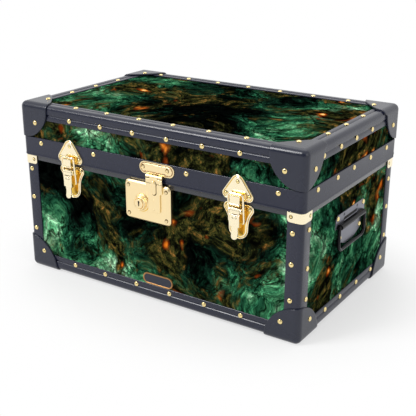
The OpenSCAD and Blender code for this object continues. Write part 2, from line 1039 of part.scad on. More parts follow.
module hasp_pin() {
  color(gold_colour)
    translate([hasp_x, -hasp_pin_y, hasp_pin_z])
      along_x(hasp_w, hasp_pin_r);
}

module hasp_screws() {
  plate_z = hasp_pin_z + hasp_knuckle_r + 0.3 + hasp_plate_h / 2;
  color(gold_colour)
    on_front(band_face + hasp_t) {
      for (side = [-1, 1])
        translate([hasp_x + side * 22, plate_z])
          slotted_head(3.2, 1.3);
      translate([hasp_x, plate_z - 5.5])
        dome(1.6, 0.7);
    }
}

// Catches, drawn round the middle line of the right one
lever_pin_y = front + catch_base_t + lever_barrel_r + 1.8;
loop_low_y = lever_pin_y - 2.1;
loop_low_z = lever_pin_z - loop_drop;
loop_bar_y = loop_low_y + 4.1;
ear_t = 1.8;
loop_half = lever_w / 2 + catch_play + ear_t + catch_play + loop_wire_r;
loop_turn_r = loop_wire_r + 0.5;
lever_face = lever_pin_y + 4.5;
hook_top_z = loop_bar_z - loop_wire_r - hook_gap;
hook_low_z = joint_z - 8;
rivet_h = 1.2;
ear_rivet_x = 18;
foot_rivet_drop = 39.5;
strike_rivet_x = 18.5;
strike_rivet_up = 23;
base_lobe_x = 17;
base_lobe_up = 0.7;
base_lobe_r = 7.8;
base_foot_drop = 29.5;
base_foot_r = 16;
ear_r = 4.4;

module at_catch(side) {
  translate([side * catch_x, 0, 0])
    children();
}

// Outline circles of the base plate, drawn in by an inset
module base_area(inset) {
  for (side = [-1, 1])
    translate([side * base_lobe_x, lever_pin_z + base_lobe_up])
      circle(base_lobe_r - inset);
  translate([0, lever_pin_z - base_foot_drop])
    circle(base_foot_r - inset);
}

module catch_base() {
  ear_x = lever_w / 2 + catch_play;
  difference() {
    union() {
      on_front(front)
        hull() {
          linear_extrude(catch_base_t - 1)
            base_area(0);
          linear_extrude(catch_base_t)
            base_area(1);
        }
      for (side = [-1, 1])
        translate([side * (ear_x + ear_t / 2), 0, lever_pin_z]) {
          translate([0, -lever_pin_y, 0])
            along_x(ear_t, ear_r);
          translate([-ear_t / 2, -lever_pin_y, -ear_r])
            cube([ear_t, lever_pin_y - front - 1, 2 * ear_r]);
        }
    }
    translate([0, -lever_pin_y, lever_pin_z])
      along_x(4 * lever_w, lever_pin_r + eps);
    rim_notch();
  }
}

module catch_base_left() {
  color(brass_colour)
    at_catch(-1)
      catch_base();
}

module catch_base_right() {
  color(brass_colour)
    at_catch(1)
      catch_base();
}

// A bar across the catch whose section is given as [distance out, height] points
module cross_bar(width, points) {
  translate([-width / 2, 0, 0])
    rotate([90, 0, 90])
      linear_extrude(width)
        polygon([for (p = points) [-p[0], p[1]]]);
}

module catch_lever() {
  y = lever_pin_y;
  z = lever_pin_z;
  f = lever_face;
  low = loop_low_z - 4;
  cheek_t = 2;
  difference() {
    union() {
      translate([0, -y, z])
        along_x(lever_w, lever_barrel_r);
      // face plate from the barrel down to the finger
      cross_bar(lever_w, [[f, z + 1.4], [f, low], [f - 2.3, low], [f - 2.3, z]]);
      // finger that is pulled to open the catch
      cross_bar(lever_w * 0.68, [
        [f, low + 0.5], [f - 1, low - 10], [f + 1.6, low - 20], [f + 0.2, low - 21],
        [f - 3.3, low - 10], [f - 2.3, low + 0.5]
      ]);
      for (side = [-1, 1])
        translate([side * (lever_w - cheek_t) / 2, 0, 0])
          cross_bar(cheek_t, [
            [f - 0.5, z], [y - 4, z - 0.5], [loop_low_y - 3.1, loop_low_z + 3],
            [loop_low_y - 3.1, loop_low_z - 2], [loop_low_y, low - 1.5], [f - 0.5, low - 1.5]
          ]);
    }
    translate([0, -y, z])
      along_x(2 * lever_w, lever_pin_r + running);
    translate([0, -loop_low_y, loop_low_z])
      along_x(2 * lever_w, loop_wire_r + running);
    // grooves and the dimple pressed into the face
    for (groove_z = [z - 3.2, z - 10.4])
      translate([-lever_w, -f - 1, groove_z])
        cube([2 * lever_w, 1.5, 0.9]);
    on_front(f - 0.7)
      translate([0, z - 7])
        linear_extrude(2)
          rounded_rect(7, 2.4, 1.1);
  }
}

module catch_lever_left() {
  color(brass_colour)
    at_catch(-1)
      catch_lever();
}

module catch_lever_right() {
  color(brass_colour)
    at_catch(1)
      catch_lever();
}

// A quarter turn of bar in the XZ plane, from its lowest point round to its right
module bend(bend_r, r) {
  rotate([90, 0, 0])
    rotate([0, 0, -90])
      rotate_extrude(angle = 90)
        translate([bend_r, 0])
          circle(r);
}

// A bar bent into a U that hangs from the origin, with its ends turned in
module bent_bar(half, drop, r, bend_r, turn_r, stub) {
  for (side = [0, 1])
    mirror([side, 0, 0]) {
      translate([half, 0, bend_r - drop])
        cylinder(r = r, h = drop - bend_r - turn_r);
      translate([half - turn_r, 0, -turn_r])
        mirror([0, 0, 1])
          bend(turn_r, r);
      translate([half - turn_r - stub, 0, 0])
        rotate([0, 90, 0])
          cylinder(r = r, h = stub);
      translate([half - bend_r, 0, bend_r - drop])
        bend(bend_r, r);
    }
  translate([0, 0, -drop])
    along_x(2 * (half - bend_r), r);
}

module catch_loop() {
  rise = loop_bar_z - loop_low_z;
  lean = loop_bar_y - loop_low_y;
  length = sqrt(rise * rise + lean * lean);
  stub = loop_half - loop_turn_r - lever_w / 2 + 1.9;
  translate([0, -loop_low_y, loop_low_z])
    rotate([atan2(lean, rise), 0, 0])
      mirror([0, 0, 1])
        bent_bar(loop_half, length, loop_wire_r, 3.5, loop_turn_r, stub);
}

module catch_loop_left() {
  color(brass_colour)
    at_catch(-1)
      catch_loop();
}

module catch_loop_right() {
  color(brass_colour)
    at_catch(1)
      catch_loop();
}

module catch_pins() {
  color(brass_colour)
    for (side = [-1, 1])
      at_catch(side)
        translate([0, -lever_pin_y, lever_pin_z])
          along_x(lever_w + 2 * (catch_play + ear_t), lever_pin_r);
}

module catch_rivets() {
  color(brass_colour)
    for (side = [-1, 1])
      at_catch(side)
        on_front(front + catch_base_t) {
          for (sx = [-1, 1])
            translate([sx * ear_rivet_x, lever_pin_z + 2])
              dome(rivet_r, rivet_h);
          translate([0, lever_pin_z - foot_rivet_drop])
            dome(rivet_r, rivet_h);
        }
}

// Outline circles of the strike plate, drawn in by an inset
module strike_area(inset) {
  lobe_z = joint_z + 3.4;
  for (side = [-1, 1])
    translate([side * 17.5, lobe_z])
      circle(7.6 - inset);
  translate([0, lobe_z + 18.6])
    circle(11.3 - inset);
}

module catch_strike() {
  on_front(band_face)
    hull() {
      linear_extrude(strike_t - 0.9)
        strike_area(0);
      linear_extrude(strike_t)
        strike_area(1);
    }
  // the hook that the loop pulls down on
  cross_bar(lever_w, [
    [band_face + 0.5, hook_top_z], [loop_bar_y + 1.4, hook_top_z], [lever_face, hook_top_z - 1.2],
    [lever_face, hook_low_z], [lever_face - 2.5, hook_low_z], [band_face + 0.5, hook_low_z + 6]
  ]);
}

module catch_strike_left() {
  color(brass_colour)
    at_catch(-1)
      catch_strike();
}

module catch_strike_right() {
  color(brass_colour)
    at_catch(1)
      catch_strike();
}

module strike_rivets() {
  color(brass_colour)
    for (side = [-1, 1])
      at_catch(side)
        on_front(band_face + strike_t) {
          translate([0, joint_z + strike_rivet_up])
            dome(rivet_r, rivet_h);
          for (sx = [-1, 1])
            translate([sx * strike_rivet_x, joint_z + 3.8])
              dome(rivet_r, rivet_h);
        }
}

// End handles
plate_t = 1.6;
barrel_x = end + plate_t + barrel_r - 1;
bail_turn_r = bail_r + 0.6;
barrel_half = bail_w / 2 - bail_turn_r - 0.3;
handle_rivet_y = bail_w / 2;
tongue_rivet_y = 35.5;
tongue_rivet_drop = 19;
strip_rivet_up = 14;
strip_up = 19.4;
strip_low = 2;
strip_cut = 6;
tongue_low = 34.5;
tongue_half = tongue_rivet_y + 5.5;
tongue_side = 24;
tongue_tip = 15;
press_gap = 0.4;
press_w = 50;
press_h = 6;

module handle_plate(side) {
  strip = handle_strip_w / 2;
  difference() {
    union() {
      on_end(side, end)
        translate([handle_y, handle_z])
          linear_extrude(plate_t)
            polygon([
              [-strip, -strip_low], [-strip, strip_up - strip_cut],
              [strip_cut - strip, strip_up], [strip - strip_cut, strip_up],
              [strip, strip_up - strip_cut], [strip, -strip_low],
              [tongue_half, -strip_low], [tongue_half, -tongue_side],
              [tongue_tip, -tongue_low], [-tongue_tip, -tongue_low],
              [-tongue_half, -tongue_side], [-tongue_half, -strip_low]
            ]);
      translate([side * barrel_x, handle_y, handle_z])
        along_y(2 * barrel_half, barrel_r);
      on_end(side, end)
        translate([handle_y - barrel_half, handle_z - barrel_r])
          linear_extrude(barrel_x - end)
            square([2 * barrel_half, 2 * barrel_r]);
    }
    translate([side * barrel_x, handle_y, handle_z])
      along_y(3 * bail_w, bail_r + running);
    on_end(side, end + plate_t - 0.8)
      translate([handle_y, handle_z + barrel_r + press_gap + press_h / 2])
        linear_extrude(3)
          rounded_rect(press_w, press_h, press_h / 2 - 0.1);
  }
}

module handle_plate_left() {
  color(steel_colour)
    handle_plate(-1);
}

module handle_plate_right() {
  color(steel_colour)
    handle_plate(1);
}

module handle_bail(side) {
  translate([side * barrel_x, handle_y, handle_z])
    rotate([0, 0, 90])
      bent_bar(bail_w / 2, bail_drop, bail_r, 11, bail_turn_r, 14);
}

module handle_bail_left() {
  color(steel_colour)
    handle_bail(-1);
}

module handle_bail_right() {
  color(steel_colour)
    handle_bail(1);
}

module handle_rivets() {
  color(brass_colour)
    for (side = [-1, 1], near = [-1, 1])
      on_end(side, end + plate_t)
        translate([handle_y, handle_z]) {
          translate([near * handle_rivet_y, strip_rivet_up])
            dome(nail_r, nail_h);
          translate([near * tongue_rivet_y, -tongue_rivet_drop])
            dome(nail_r, nail_h);
        }
}

// Hinges
hinge_y = half_d + hinge_out;
side_knuckle = hinge_w / 3 - 0.3;
web_t = knuckle_r * 0.75;
leaf_screw_x = hinge_w / 2 - 8;
hinge_screw_r = 3.2;
hinge_screw_h = 1.3;
body_screw_drop = 22;
lid_screw_up = 15;
body_leaf_y = front + rim_t + 0.1;

// Repeats a hinge drawn with its pin through the origin, +Y outwards
module at_hinges() {
  for (side = [-1, 1])
    translate([side * hinge_x, hinge_y, joint_z])
      children();
}

module hinge_body_leaves() {
  leaf_in = body_leaf_y - hinge_y;
  leaf_drop = 32;
  color(brass_colour)
    at_hinges()
      difference() {
        union() {
          translate([-hinge_w / 2, leaf_in, -leaf_drop])
            cube([hinge_w, leaf_t, leaf_drop - lid_gap]);
          // the leaf is packed out where it lies below the rim strip
          translate([-hinge_w / 2, front - hinge_y, -leaf_drop])
            cube([hinge_w, rim_t + 0.2, leaf_drop - rim_h - 2 * lid_gap]);
          for (side = [-1, 1])
            translate([side * (hinge_w - side_knuckle) / 2, 0, 0]) {
              along_x(side_knuckle, knuckle_r);
              translate([-side_knuckle / 2, leaf_in + 0.5, -web_t - lid_gap])
                cube([side_knuckle, -leaf_in - 0.5, web_t]);
            }
        }
        along_x(2 * hinge_w, hinge_pin_r + eps);
      }
}

module hinge_lid_leaves() {
  leaf_in = band_face - hinge_y;
  middle = hinge_w - 2 * side_knuckle - 0.6;
  foot = knuckle_r + 0.8;
  stop_angle = -50;
  color(brass_colour)
    at_hinges()
      difference() {
        union() {
          translate([-hinge_w / 2, leaf_in, foot])
            cube([hinge_w, leaf_t, band_up - foot - 2]);
          translate([-middle / 2, leaf_in, lid_gap])
            cube([middle, leaf_t, foot]);
          translate([-middle / 2, leaf_in, lid_gap])
            cube([middle, -leaf_in, web_t]);
          along_x(middle, knuckle_r);
          // the lug that stops the lid when it is fully open
          rotate([stop_angle, 0, 0])
            translate([-middle / 2, 0, -0.8])
              cube([middle, knuckle_r + 0.75, 1.6]);
        }
        along_x(2 * hinge_w, hinge_pin_r + running);
      }
}

module hinge_pins() {
  color(brass_colour)
    at_hinges()
      along_x(hinge_w, hinge_pin_r);
}

module hinge_body_screws() {
  color(brass_colour)
    for (side = [-1, 1])
      translate([side * hinge_x, 0, 0])
        on_back(body_leaf_y + leaf_t)
          for (sx = [-1, 1])
            translate([sx * leaf_screw_x, joint_z - body_screw_drop])
              slotted_head(hinge_screw_r, hinge_screw_h);
}

module hinge_lid_screws() {
  color(brass_colour)
    for (side = [-1, 1])
      translate([side * hinge_x, 0, 0])
        on_back(band_face + leaf_t)
          for (sx = [-1, 1])
            translate([sx * leaf_screw_x, joint_z + lid_screw_up])
              slotted_head(hinge_screw_r, hinge_screw_h);
}

// Lid panels
module lid_top_panel() {
  color(ply_colour)
    translate([-lid_x, -lid_y, lid_top_z - ply_t])
      cube([2 * lid_x, 2 * lid_y, ply_t]);
}

module lid_wall_front() {
  translate([-lid_x, -lid_y, joint_z])
    cube([2 * lid_x, ply_t, lid_top_z - ply_t - joint_z]);
}

module lid_front_panel() {
  color(ply_colour)
    lid_wall_front();
}

module lid_back_panel() {
  color(ply_colour)
    mirror([0, 1, 0])
      lid_wall_front();
}

module lid_wall_end() {
  translate([-lid_x, ply_t - lid_y, joint_z])
    cube([ply_t, 2 * (lid_y - ply_t), lid_top_z - ply_t - joint_z]);
}

module lid_left_panel() {
  color(ply_colour)
    lid_wall_end();
}

module lid_right_panel() {
  color(ply_colour)
    mirror([1, 0, 0])
      lid_wall_end();
}

module lid_covering() {
  sheet_h = lid_top_z - joint_z - sheet_in;
  color(print_colour) {
    for (side = [0, 1]) {
      mirror([0, side, 0])
        translate([sheet_in - lid_x, -lid_y - cover_t, joint_z])
          cube([2 * (lid_x - sheet_in), cover_t, sheet_h]);
      mirror([side, 0, 0])
        translate([-lid_x - cover_t, sheet_in - lid_y, joint_z])
          cube([cover_t, 2 * (lid_y - sheet_in), sheet_h]);
    }
    translate([sheet_in - lid_x, sheet_in - lid_y, lid_top_z])
      cube([2 * (lid_x - sheet_in), 2 * (lid_y - sheet_in), cover_t]);
  }
}

module lid_lining() {
  color(lining_colour)
    translate([0, 0, lid_top_z - ply_t])
      mirror([0, 0, 1])
        lining_tray(lid_x - ply_t, lid_y - ply_t, lid_top_z - ply_t - joint_z - lid_gap);
}

body_front_panel();
body_back_panel();
body_left_panel();
body_right_panel();
floor_panel();
body_covering();
body_lining();
post_bindings();
base_bindings_long();
base_bindings_short();
base_caps();
rim_strip();
corner_clips();
body_nails();
badge_frame();
badge_field();
lock_case();
lock_screws();
key_collar();
key_plug();
lock_bolt();
catch_base_left();
catch_base_right();
catch_lever_left();
catch_lever_right();
catch_loop_left();
catch_loop_right();
catch_pins();
catch_rivets();
handle_plate_left();
handle_plate_right();
handle_bail_left();
handle_bail_right();
handle_rivets();
hinge_body_leaves();
hinge_pins();
hinge_body_screws();
lid_top_panel();
lid_front_panel();
lid_back_panel();
lid_left_panel();
lid_right_panel();
lid_covering();
lid_lining();
lid_bindings_long();
lid_bindings_short();
lid_band();
lid_caps();
lid_nails();
catch_strike_left();
catch_strike_right();
strike_rivets();
hasp_plate();
hasp();
hasp_staple();
hasp_pin();
hasp_screws();
hinge_lid_leaves();
hinge_lid_screws();
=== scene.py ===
"""Looks of a tuck box, a plywood trunk with steel-capped corners, brass catches and a lock.

Sizes are written in millimetres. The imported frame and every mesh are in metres, with the origin
in the middle of the footprint, the front facing -Y and +Z up.
"""

from __future__ import annotations

import logging
import math
from collections.abc import Sequence
from dataclasses import dataclass
from enum import Enum
from typing import Any

import bmesh
import bpy
import numpy as np
from mathutils import Euler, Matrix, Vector

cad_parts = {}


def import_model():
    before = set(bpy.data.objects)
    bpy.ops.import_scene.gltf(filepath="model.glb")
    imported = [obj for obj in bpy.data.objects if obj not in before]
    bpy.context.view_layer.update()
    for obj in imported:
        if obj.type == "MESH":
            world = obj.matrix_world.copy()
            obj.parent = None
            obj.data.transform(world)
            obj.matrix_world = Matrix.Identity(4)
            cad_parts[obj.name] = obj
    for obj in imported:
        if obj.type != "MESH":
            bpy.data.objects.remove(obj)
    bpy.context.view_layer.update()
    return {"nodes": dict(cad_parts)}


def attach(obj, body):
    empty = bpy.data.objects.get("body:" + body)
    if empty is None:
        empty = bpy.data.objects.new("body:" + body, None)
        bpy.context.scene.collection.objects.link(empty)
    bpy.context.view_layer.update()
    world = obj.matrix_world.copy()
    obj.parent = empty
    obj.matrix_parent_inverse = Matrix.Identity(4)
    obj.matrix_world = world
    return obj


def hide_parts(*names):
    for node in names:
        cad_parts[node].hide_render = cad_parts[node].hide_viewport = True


MM = 0.001
MERGE = 0.002 * MM
# the angle in degrees past which an edge stays sharp: on most pieces, eased ones and round ones
SHARP = 35.0
EASED_SHARP = 38.0
ROUND_SHARP = 50.0
LOG = logging.getLogger("tuck_box")

Points = np.ndarray
Faces = list[list[int]]
Pair = tuple[float, float]
Triple = tuple[float, float, float]
Line = Sequence[Pair]
Node = bpy.types.Node
Socket = bpy.types.NodeSocket
Tree = bpy.types.NodeTree
Piece = bpy.types.Object


def linear(code: str) -> tuple[float, ...]:
    """Turns an sRGB hex colour into linear light with an alpha of 1."""
    parts = [int(code[i : i + 2], 16) / 255 for i in (1, 3, 5)]
    return (*(p / 12.92 if p <= 0.04045 else ((p + 0.055) / 1.055) ** 2.4 for p in parts), 1.0)


def live(node: Node) -> Socket:
    """Gives the first output of a node that is in use."""
    return next(socket for socket in node.outputs if socket.enabled)


def add(
    tree: Tree,
    kind: str,
    inputs: dict[str | int, Any] | None = None,
    stops: Sequence[tuple[float, str]] = (),
    **settings: Any,
) -> Node:
    """Adds a node with its settings and links.

    Args:
        tree: the tree that it goes into.
        kind: the node's type, for a shader node without "ShaderNode".
        inputs: what each input gets, by name or number: a value, a socket or a node.
        stops: the places and hex colours of a colour ramp.
        settings: the node's own settings.

    Returns:
        The node.
    """
    made = tree.nodes.new(kind if "Node" in kind else "ShaderNode" + kind)
    for name, value in settings.items():
        setattr(made, name, value)
    for name, value in (inputs or {}).items():
        source = live(value) if isinstance(value, Node) else value
        if isinstance(source, Socket):
            tree.links.new(source, made.inputs[name])
        else:
            made.inputs[name].default_value = source
    for number, (place, code) in enumerate(stops):
        elements = made.color_ramp.elements
        stop = elements[number] if number < 2 else elements.new(place)
        stop.position, stop.color = place, linear(code)
    return made


def emptied(owner: bpy.types.Material | bpy.types.World) -> Tree:
    """Turns on the nodes of a material or world.

    Args:
        owner: the material or world.

    Returns:
        Its tree, with nothing in it.
    """
    owner.use_nodes = True
    owner.node_tree.nodes.clear()
    return owner.node_tree


def put(name: str, data: bpy.types.ID) -> Piece:
    """Puts a mesh, lamp or camera into the scene.

    Args:
        name: the object's name.
        data: the mesh, lamp or camera.

    Returns:
        The object.
    """
    piece = bpy.data.objects.new(name, data)
    bpy.context.scene.collection.objects.link(piece)
    return piece


@dataclass
class Batch:
    """A material in the making."""

    tree: Tree
    place: Socket
    shader: Node

    def feed(self, name: str, source: Node) -> None:
        """Links a node to the shader's named input."""
        self.tree.links.new(live(source), self.shader.inputs[name])


@dataclass(frozen=True)
class Finish:
    """A plain finish, with a fine relief and slightly uneven gloss."""

    slot: str
    title: str
    colour: str
    roughness: float
    metallic: float = 0.0
    coat: float = 0.0
    grain: float = 1.0
    relief: float = 0.0
    smudge: float = 0.0
    specular: float = 0.5
    coat_roughness: float = 0.12
    patch: float = 40.0

    def build(self) -> bpy.types.Material:
        """Makes the material.

        Returns:
            The material, with its texture on Object coordinates.
        """
        material = bpy.data.materials.new(self.title)
        tree = emptied(material)
        values = {
            "Base Color": linear(self.colour),
            "Metallic": self.metallic,
            "Roughness": self.roughness,
            "Coat Weight": self.coat,
            "Coat Roughness": self.coat_roughness,
            "Specular IOR Level": self.specular,
        }
        shader = add(tree, "BsdfPrincipled", values)
        add(tree, "OutputMaterial", {"Surface": shader})
        self.dress(Batch(tree, add(tree, "TexCoord").outputs["Object"], shader))
        return material

    def dress(self, batch: Batch) -> None:
        """Adds the relief and the smudges.

        Args:
            batch: the material in the making.
        """
        tree, place = batch.tree, batch.place
        if self.relief:
            height = add(tree, "TexNoise", {"Vector": place, "Scale": 1 / (self.grain * MM)})
            self.emboss(batch, height)
        if self.smudge:
            wear = add(tree, "TexNoise", {"Vector": place, "Scale": 1 / (self.patch * MM)})
            low, high = self.roughness - self.smudge, self.roughness + self.smudge
            span = {"Value": wear, "From Min": 0.3, "From Max": 0.7, "To Min": low, "To Max": high}
            batch.feed("Roughness", add(tree, "MapRange", span))

    def emboss(self, batch: Batch, height: Node) -> None:
        """Turns a height from 0 to 1 into relief."""
        values = {"Height": height, "Distance": self.relief * MM}
        batch.feed("Normal", add(batch.tree, "Bump", values))


@dataclass(frozen=True)
class Brushed(Finish):
    """Metal brushed up and down, so that its relief is long and narrow."""

    stroke: float = 18.0

    def dress(self, batch: Batch) -> None:
        """Adds the brush marks, drawn wider than real ones so that they show.

        Args:
            batch: the material in the making.
        """
        across, along = 1 / (self.grain * MM), 1 / (self.stroke * MM)
        long = {"Vector": batch.place, "Scale": (across, across, along)}
        marks = {"Vector": add(batch.tree, "Mapping", long), "Scale": 1.0, "Detail": 3.0}
        self.emboss(batch, add(batch.tree, "TexNoise", marks))


@dataclass(frozen=True)
class Plywood(Finish):
    """Birch plywood sawn and sanded: pale veneers that show as layers on a cut edge."""

    through: int = 2
    veneer: float = 1.5
    fibre: Pair = (60.0, 1.2)

    def dress(self, batch: Batch) -> None:
        """Adds the veneers across the board's thickness and the grain along it.

        Args:
            batch: the material in the making.
        """
        tree, place = batch.tree, batch.place
        height = add(tree, "SeparateXYZ", {"Vector": place}).outputs[self.through]
        pitch = 1 / (2 * self.veneer * MM)
        layer = add(tree, "Math", {0: height, 1: pitch}, operation="MULTIPLY")
        part = add(tree, "Math", {0: layer}, operation="FRACT")
        scale = [1 / (self.fibre[0] * MM)] * 3
        scale[self.through] = 1 / (self.fibre[1] * MM)
        long = add(tree, "Mapping", {"Vector": place, "Scale": scale})
        grain = add(tree, "TexNoise", {"Vector": long, "Scale": 1.0, "Detail": 5.0})
        ply = add(tree, "ValToRGB", {"Fac": part}, [(0.0, "#c79a63"), (0.5, "#a57a48")])
        ply.color_ramp.interpolation = "CONSTANT"
        shade = add(tree, "ValToRGB", {"Fac": grain}, [(0.3, "#b99a78"), (0.7, "#ffffff")])
        colours = {0: 0.6, 6: ply, 7: shade}
        mixed = add(tree, "Mix", colours, data_type="RGBA", blend_type="MULTIPLY")
        batch.feed("Base Color", mixed)
        self.emboss(batch, grain)


@dataclass(frozen=True)
class MistPrint(Finish):
    """Printed paper: a marbled emerald mist on black, veined, with banks of moss and amber."""

    swirl: float = 150.0
    pull: float = 0.2
    seed: float = 0.0
    ember: float = 34.0

    def dress(self, batch: Batch) -> None:
        """Adds the printed design.

        Args:
            batch: the material in the making.
        """
        tree, place = batch.tree, batch.place
        values = {"Vector": place, "W": self.seed, "Scale": 1 / (self.swirl * MM), "Detail": 3.0}
        swirl = add(tree, "TexNoise", values, noise_dimensions="4D").outputs["Color"]
        pull = add(tree, "VectorMath", {0: swirl, 1: (0.5, 0.5, 0.5)}, operation="SUBTRACT")
        share = {0: pull, 1: (self.pull,) * 3, 2: place}
        pulled = add(tree, "VectorMath", share, operation="MULTIPLY_ADD")
        # size in millimetres, detail, roughness and place in the fourth dimension
        layers = {
            "fog": (190, 2.0, 0.5, 0.4),
            "smoke": (36, 12.0, 0.75, 0.0),
            "stems": (48, 8.0, 0.62, 1.7),
            "twigs": (13, 7.0, 0.62, 5.1),
            "strands": (26, 8.0, 0.66, 9.3),
            "ground": (130, 4.0, 0.6, 3.0),
            "leaf": (15, 9.0, 0.78, 7.0),
        }
        noise = {}
        for name, (size, detail, rough, w) in layers.items():
            values = {"Vector": pulled, "W": w + self.seed, "Scale": 1 / (size * MM)}
            values |= {"Detail": detail, "Roughness": rough}
            noise[name] = add(tree, "TexNoise", values, noise_dimensions="4D")
        fog = add(tree, "Math", {0: noise["fog"], 1: 1.7, 2: -0.95}, operation="MULTIPLY_ADD")
        level = add(tree, "Math", {0: noise["smoke"], 1: 1.25, 2: fog}, operation="MULTIPLY_ADD")
        stops = [(0.33, "#030504"), (0.44, "#0d261b"), (0.55, "#1f5238"), (0.66, "#45875d")]
        mist = add(tree, "ValToRGB", {"Fac": level}, [*stops, (0.80, "#9ccda4")])
        # how wide each kind of vein is, and how much of the mist is left in its middle
        veins = {"stems": (0.035, 0.04), "twigs": (0.05, 0.3), "strands": (0.022, 2.6)}
        for name, (wide, core) in veins.items():
            ridge = add(tree, "Math", {0: noise[name], 1: 0.5}, operation="SUBTRACT")
            edge = add(tree, "Math", {0: ridge}, operation="ABSOLUTE")
            span = {"Value": edge, "From Min": 0.003, "From Max": wide, "To Min": core}
            vein = add(tree, "MapRange", span)
            mist = add(tree, "VectorMath", {0: mist, "Scale": vein}, operation="SCALE")
        stops = [(0.42, "#030302"), (0.49, "#14160a"), (0.55, "#3a3e1c"), (0.61, "#7c5a2a")]
        moss = add(tree, "ValToRGB", {"Fac": noise["leaf"]}, [*stops, (0.68, "#d9984c")])
        where = {"Value": noise["ground"], "From Min": 0.47, "From Max": 0.55}
        bank = add(tree, "MapRange", where)
        laid = add(tree, "Mix", {0: bank, 6: mist, 7: moss}, data_type="RGBA")
        cells = add(tree, "TexVoronoi", {"Vector": pulled, "Scale": 1 / (self.ember * MM)})
        near = {"Value": cells, "From Min": 0.0, "From Max": 0.5, "To Min": 1.0, "To Max": 0.0}
        ember = add(tree, "MapRange", near, interpolation_type="SMOOTHERSTEP")
        where = {"Value": noise["ground"], "From Min": 0.51, "From Max": 0.57}
        share = add(tree, "Math", {0: ember, 1: add(tree, "MapRange", where)}, operation="MULTIPLY")
        stops = [(0.1, "#000000"), (0.45, "#6b2605"), (0.75, "#dd741b"), (0.92, "#ffd382")]
        amber = add(tree, "ValToRGB", {"Fac": share}, stops)
        colours = {0: 1.0, 6: laid, 7: amber}
        lit = add(tree, "Mix", colours, data_type="RGBA", blend_type="SCREEN")
        batch.feed("Base Color", lit)


class Surface(Enum):
    """The finishes of the box."""

    # moulded fibre trim under a baked enamel: nearly black, so its sheen draws every edge
    BINDING = Finish(
        "binding", "enamelled fibre trim", "#181c2f", 0.27, grain=1.4, relief=0.012, smudge=0.05
    )
    # pressed mild steel under baked enamel: glossier, with a faint orange peel
    CAP = Finish(
        "cap_steel", "enamelled pressed steel", "#1c2030", 0.25, grain=2.4, relief=0.02, smudge=0.05
    )
    # rolled steel strip, blued and oiled: catches the light on the side that faces it
    RIM = Finish("rim_steel", "blued steel strip", "#24272f", 0.26, coat=0.3, relief=0.006)
    # zinc-plated steel of the lock's bolt: grey and satin
    BOLT = Finish("rim_steel", "zinc plated steel", "#b9bcc0", 0.32, 1.0)
    # black enamel on steel: wet and dark, with small sharp lights
    ENAMEL = Finish("black_steel", "black enamelled steel", "#0c0b0e", 0.2, specular=0.17)
    # nickel plate on steel, a little dull: pale grey
    NICKEL = Finish(
        "black_steel", "nickel plated steel", "#7d7e87", 0.36, 1.0, relief=0.01, smudge=0.05
    )
    # polished brass plate on steel: pale, with dark and light bands
    BRASS = Finish("brass", "polished brass plate", "#fff2cf", 0.16, 1.0, smudge=0.03)
    # solid brass of the nails, domed and tumbled: yellower than the plate
    NAIL = Finish("brass", "tumbled solid brass", "#f3dc9c", 0.15, 1.0)
    # brass darkened in a bath: brown, and dull, on the badge's ring; on the hasp plate the same
    # brown is painted shade in the groove
    ANTIQUE_AND_SHADE = Finish("brass", "darkened brass and painted groove shade", "#b98a58", 0.36, 1.0)
    # deeper yellow brass painted on hollows, grooves and sides as their shade, in place of shadowed
    # brass
    BRASS_IN_SHADE = Finish("brass", "brass plate painted deeper as shade", "#efc453", 0.28, 1.0)
    # satin brass plate, brushed upright: pale and soft
    GOLD = Brushed(
        "gold_lock", "brushed satin brass plate", "#ffe8b6", 0.32, 1.0, grain=0.7, relief=0.012
    )
    # matt dark field of the badge: no highlight on it
    FIELD = Finish("binding", "matt dark plastic", "#1d2230", 0.45, relief=0.004)
    # offset print on matt paper: deep blacks, with almost no gloss over them
    PRINT = MistPrint("covering", "matt printed paper", "#0d2f25", 0.6, specular=0.0)
    # woven cloth glued flat: black, without a sheen
    LINING = Finish("lining", "black bookcloth", "#232327", 0.9, grain=0.8, relief=0.06)
    # birch plywood, cut and sanded: pale layers on its edges; one for each way a board faces
    PLY_X = Plywood("plywood", "end board plywood", "#c79a63", 0.6, relief=0.02, through=0)
    PLY_Y = Plywood("plywood", "long board plywood", "#c79a63", 0.6, relief=0.02, through=1)
    PLY_Z = Plywood("plywood", "flat board plywood", "#c79a63", 0.6, relief=0.02, through=2)
    # brown brass painted where shade falls, in place of shadow: in dishes, grooves and gaps and
    # round heads
    PAINTED_SHADE = Finish("gold_lock", "brass painted brown as shade", "#4a3216", 0.5, 1.0)
    # black painted as shade in the unlit inside of the keyhole and of the handles' holes
    DARK = Finish("rim_steel", "black painted shade", "#050505", 0.7)

    def material(self) -> bpy.types.Material:
        """Gives the finish's material, made the first time."""
        return bpy.data.materials.get(self.value.title) or self.value.build()


class Face(Enum):
    """A side of the box, as the right, up and outward directions of a drawing on it."""

    FRONT = ((1, 0, 0), (0, 0, 1), (0, -1, 0))
    BACK = ((-1, 0, 0), (0, 0, 1), (0, 1, 0))
    RIGHT = ((0, 1, 0), (0, 0, 1), (1, 0, 0))
    LEFT = ((0, -1, 0), (0, 0, 1), (-1, 0, 0))
    TOP = ((1, 0, 0), (0, 1, 0), (0, 0, 1))

    def place(self, drawn: Points, level: float = 0.0) -> Points:
        """Puts points on this side, at a distance from the middle of the box."""
        return (np.asarray(drawn, float) + (0, 0, level)) @ np.array(self.value, float)


LONG_SIDES = ((-1, Face.FRONT), (1, Face.BACK))
ENDS = ((-1, Face.LEFT), (1, Face.RIGHT))
BOTH = (-1, 1)
CORNERS = [(sx, sy) for sx in BOTH for sy in BOTH]
# a catch's rivets, right of its middle and up
BASE_RIVETS = ((-18, 188.5), (18, 188.5), (0, 147))
STRIKE_RIVETS = ((-18.5, 207.8), (18.5, 207.8), (0, 227))


